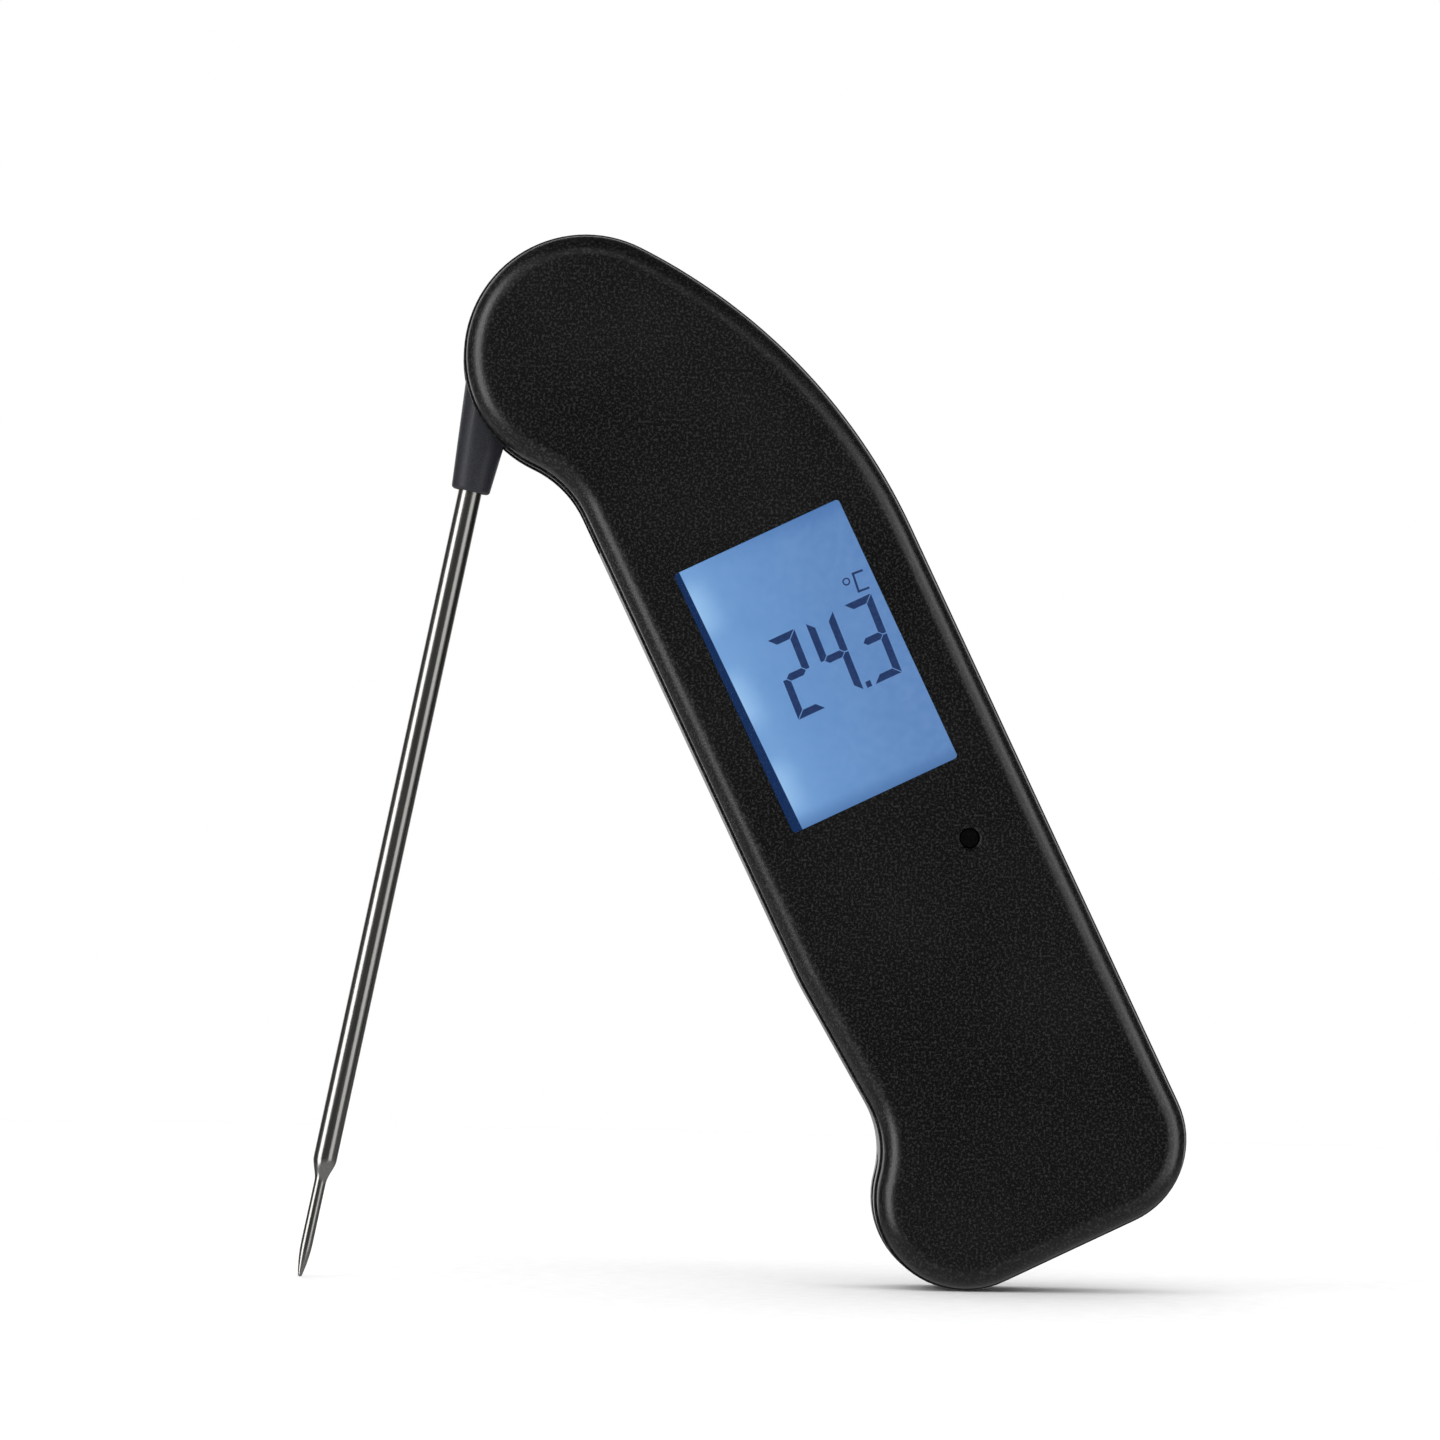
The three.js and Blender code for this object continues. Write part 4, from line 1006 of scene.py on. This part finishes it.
def coil_spring():
    """The minus spring: tapered round wire, wound from the tray's end towards the cell."""
    curve = bpy.data.curves.new("battery_spring", "CURVE")
    curve.dimensions, curve.use_fill_caps = "3D", True
    curve.bevel_depth, curve.bevel_resolution = 0.32, 4
    line = curve.splines.new("POLY")
    count, turns = 110, 3.2
    line.points.add(count)
    for i in range(count + 1):
        share = i / count
        x, y = polar(MIDDLE, CELL_Y, 4.1 - 1.7 * share, 360 * turns * share)
        line.points[i].co = (x, y, -125.5 + 3.2 * share, 1)
    spring = bpy.data.objects.new("battery_spring", curve)
    bpy.context.scene.collection.objects.link(spring)
    only(spring)
    bpy.ops.object.convert(target="MESH")
    spring = bpy.context.object
    finish(spring, CASE, "case", "nickel", nickel, "battery_minus_spring")


battery_lid()
screws(CASE_SCREWS, CASE_SCREW, SCREW_TIP, "case", "case")
screws(LID_SCREWS, LID_SCREW, 3.6, "battery_cover", "cover")
screws([(0, 0)], PIVOT_SCREW, SCREW_TIP, "case", "pivot")
battery_cell()
coil_spring()

# ---------------------------------------------------------------- inside pieces, from the frame
SEALS = ("lens_seal", "zebra_strip", "hub_seal_front", "hub_seal_back", "case_seal")
WHITE_PIECES = ("lcd_frame", "backlight_led_1", "backlight_led_2", "backlight_led_3")
CHIPS = ("processor_chip", "converter_chip", "hall_sensor", "light_sensor", "dip_block")
CASE_INSERTS = ("case_insert_1", "case_insert_2", "case_insert_3")
COVER_INSERTS = ("cover_insert_1", "cover_insert_2", "pivot_insert")
for nodes, body, slot, material, edge in (
    (SEALS, "case", "silicone", rubber, 0),
    (("cover_seal",), "battery_cover", "silicone", rubber, 0),
    (("light_guide",), "case", "clear_plastic", acrylic, 0.05),
    (WHITE_PIECES, "case", "white_plastic", white_plastic, 0.08),
    (("main_board",), "case", "board", board_green, 0),
    (CHIPS, "case", "chip", chip_epoxy, 0.06),
    (("board_lead",), "case", "lead_sleeve", sleeve_green, 0),
    (("probe_lead",), "probe", "lead_sleeve", sleeve_green, 0),
    (("battery_plus_contact", "friction_washer"), "case", "nickel", nickel, 0.05),
    (CASE_INSERTS + COVER_INSERTS, "case", "brass", brass, 0),
    (("stem_collar",), "probe", "brass", brass, 0),
    (("hub_magnet",), "probe", "nickel", nickel, 0.1),
    *(
        ((f"dip_lever_{i}",), f"lever_{i}", "white_plastic", white_plastic, 0.08)
        for i in (1, 2, 3, 4)
    ),
):
    for node in nodes:
        softened(node, body, slot, material, edge)


# ---------------------------------------------------------------- studio
def softbox(name, place, turn, size, power, lit=None):
    """A rectangular soft light. With lit, only those objects receive its light."""
    bpy.ops.object.light_add(type="AREA", location=place, rotation=turn)
    lamp = bpy.context.object
    lamp.name = name
    lamp.data.shape = "RECTANGLE"
    lamp.data.size, lamp.data.size_y = size
    lamp.data.energy = power
    lamp.visible_camera = False
    if lit:
        lamp.light_linking.receiver_collection = bpy.data.collections.new(name + "_receivers")
        for piece in lit:
            lamp.light_linking.receiver_collection.objects.link(piece)


def studio():
    bpy.ops.object.select_all(action="DESELECT")
    bpy.ops.mesh.primitive_circle_add(vertices=96, radius=0.6, fill_type="NGON")
    floor = placed("floor")
    # Uncoated paper: matt and white, with slow shades.
    paper = grained("matt_white_paper", "#f0f0f0", "#f6f6f6", 3.0, 0.85, 0.95)
    floor.data.materials.append(paper)
    floor.visible_glossy = False
    case = [bpy.data.objects[name] for name in ("front_shell", "back_shell", "battery_lid")]
    for name, place, azimuth, size, power, lit in (
        ("left_softbox", (-0.87, -0.5, 0.2), -60, (0.56, 1.1), 5.2, None),
        ("right_softbox", (0.7, -0.7, 0.2), 45, (0.6, 1.1), 1.9, None),
        ("back_softbox", (0, 1.7, 0.5), 180, (2.4, 1.4), 9.0, None),
        ("left_case_softbox", (-0.87, -0.5, 0.4), -60, (0.5, 1.1), 4.5, case),
        ("right_case_softbox", (0.95, -0.35, 0.2), 70, (0.4, 1.1), 2.4, case),
    ):
        softbox(name, place, (math.radians(90), 0, math.radians(azimuth)), size, power, lit)
    softbox("front_fill", (-0.1, -1.7, 1.3), (math.radians(55), 0, 0), (1.5, 1.0), 1.7)
    softbox("overhead_softbox", (0, 0, 0.9), (0, 0, 0), (3.0, 3.0), 36, [floor])
    world = bpy.data.worlds.new("white_room")
    bpy.context.scene.world = world
    world.use_nodes = True
    tree = world.node_tree
    # White to the camera, dim to the pieces, and a little lighter from below, where the paper is.
    direction = add(tree, "ShaderNodeTexCoord").outputs["Generated"]
    height = add(tree, "ShaderNodeSeparateXYZ", {"Vector": direction}).outputs["Z"]
    dim = add(
        tree,
        "ShaderNodeMapRange",
        {"Value": height, "From Min": -0.15, "From Max": -0.45, "To Min": 0.06, "To Max": 0.3},
    ).outputs["Result"]
    seen = add(tree, "ShaderNodeLightPath").outputs["Is Camera Ray"]
    strength = add(
        tree, "ShaderNodeMapRange", {"Value": seen, "To Min": dim, "To Max": 1.0}
    ).outputs["Result"]
    background = tree.nodes["Background"]
    background.inputs["Color"].default_value = (1, 1, 1, 1)
    tree.links.new(strength, background.inputs["Strength"])


def camera():
    """A long lens about 1.1 metres in front, a little turned, tilted and rolled."""
    yaw, pitch, roll = 0.0349, 0.0167, 0.0204
    sensor_width, focal_share = 36, 5.6363  # the focal length in widths of the frame
    bpy.ops.object.camera_add()
    made = bpy.context.object
    made.matrix_world = (
        Matrix.Translation((-0.04257, -1.09933, 0.058))
        @ Matrix.Rotation(-yaw, 4, "Z")
        @ Matrix.Rotation(math.pi / 2 + pitch, 4, "X")
        @ Matrix.Rotation(roll, 4, "Z")
    )
    made.data.sensor_width = sensor_width
    made.data.lens = focal_share * sensor_width
    made.data.clip_start, made.data.clip_end = 0.05, 20
    bpy.context.scene.camera = made


studio()
camera()
bpy.context.scene.view_settings.view_transform = "Standard"
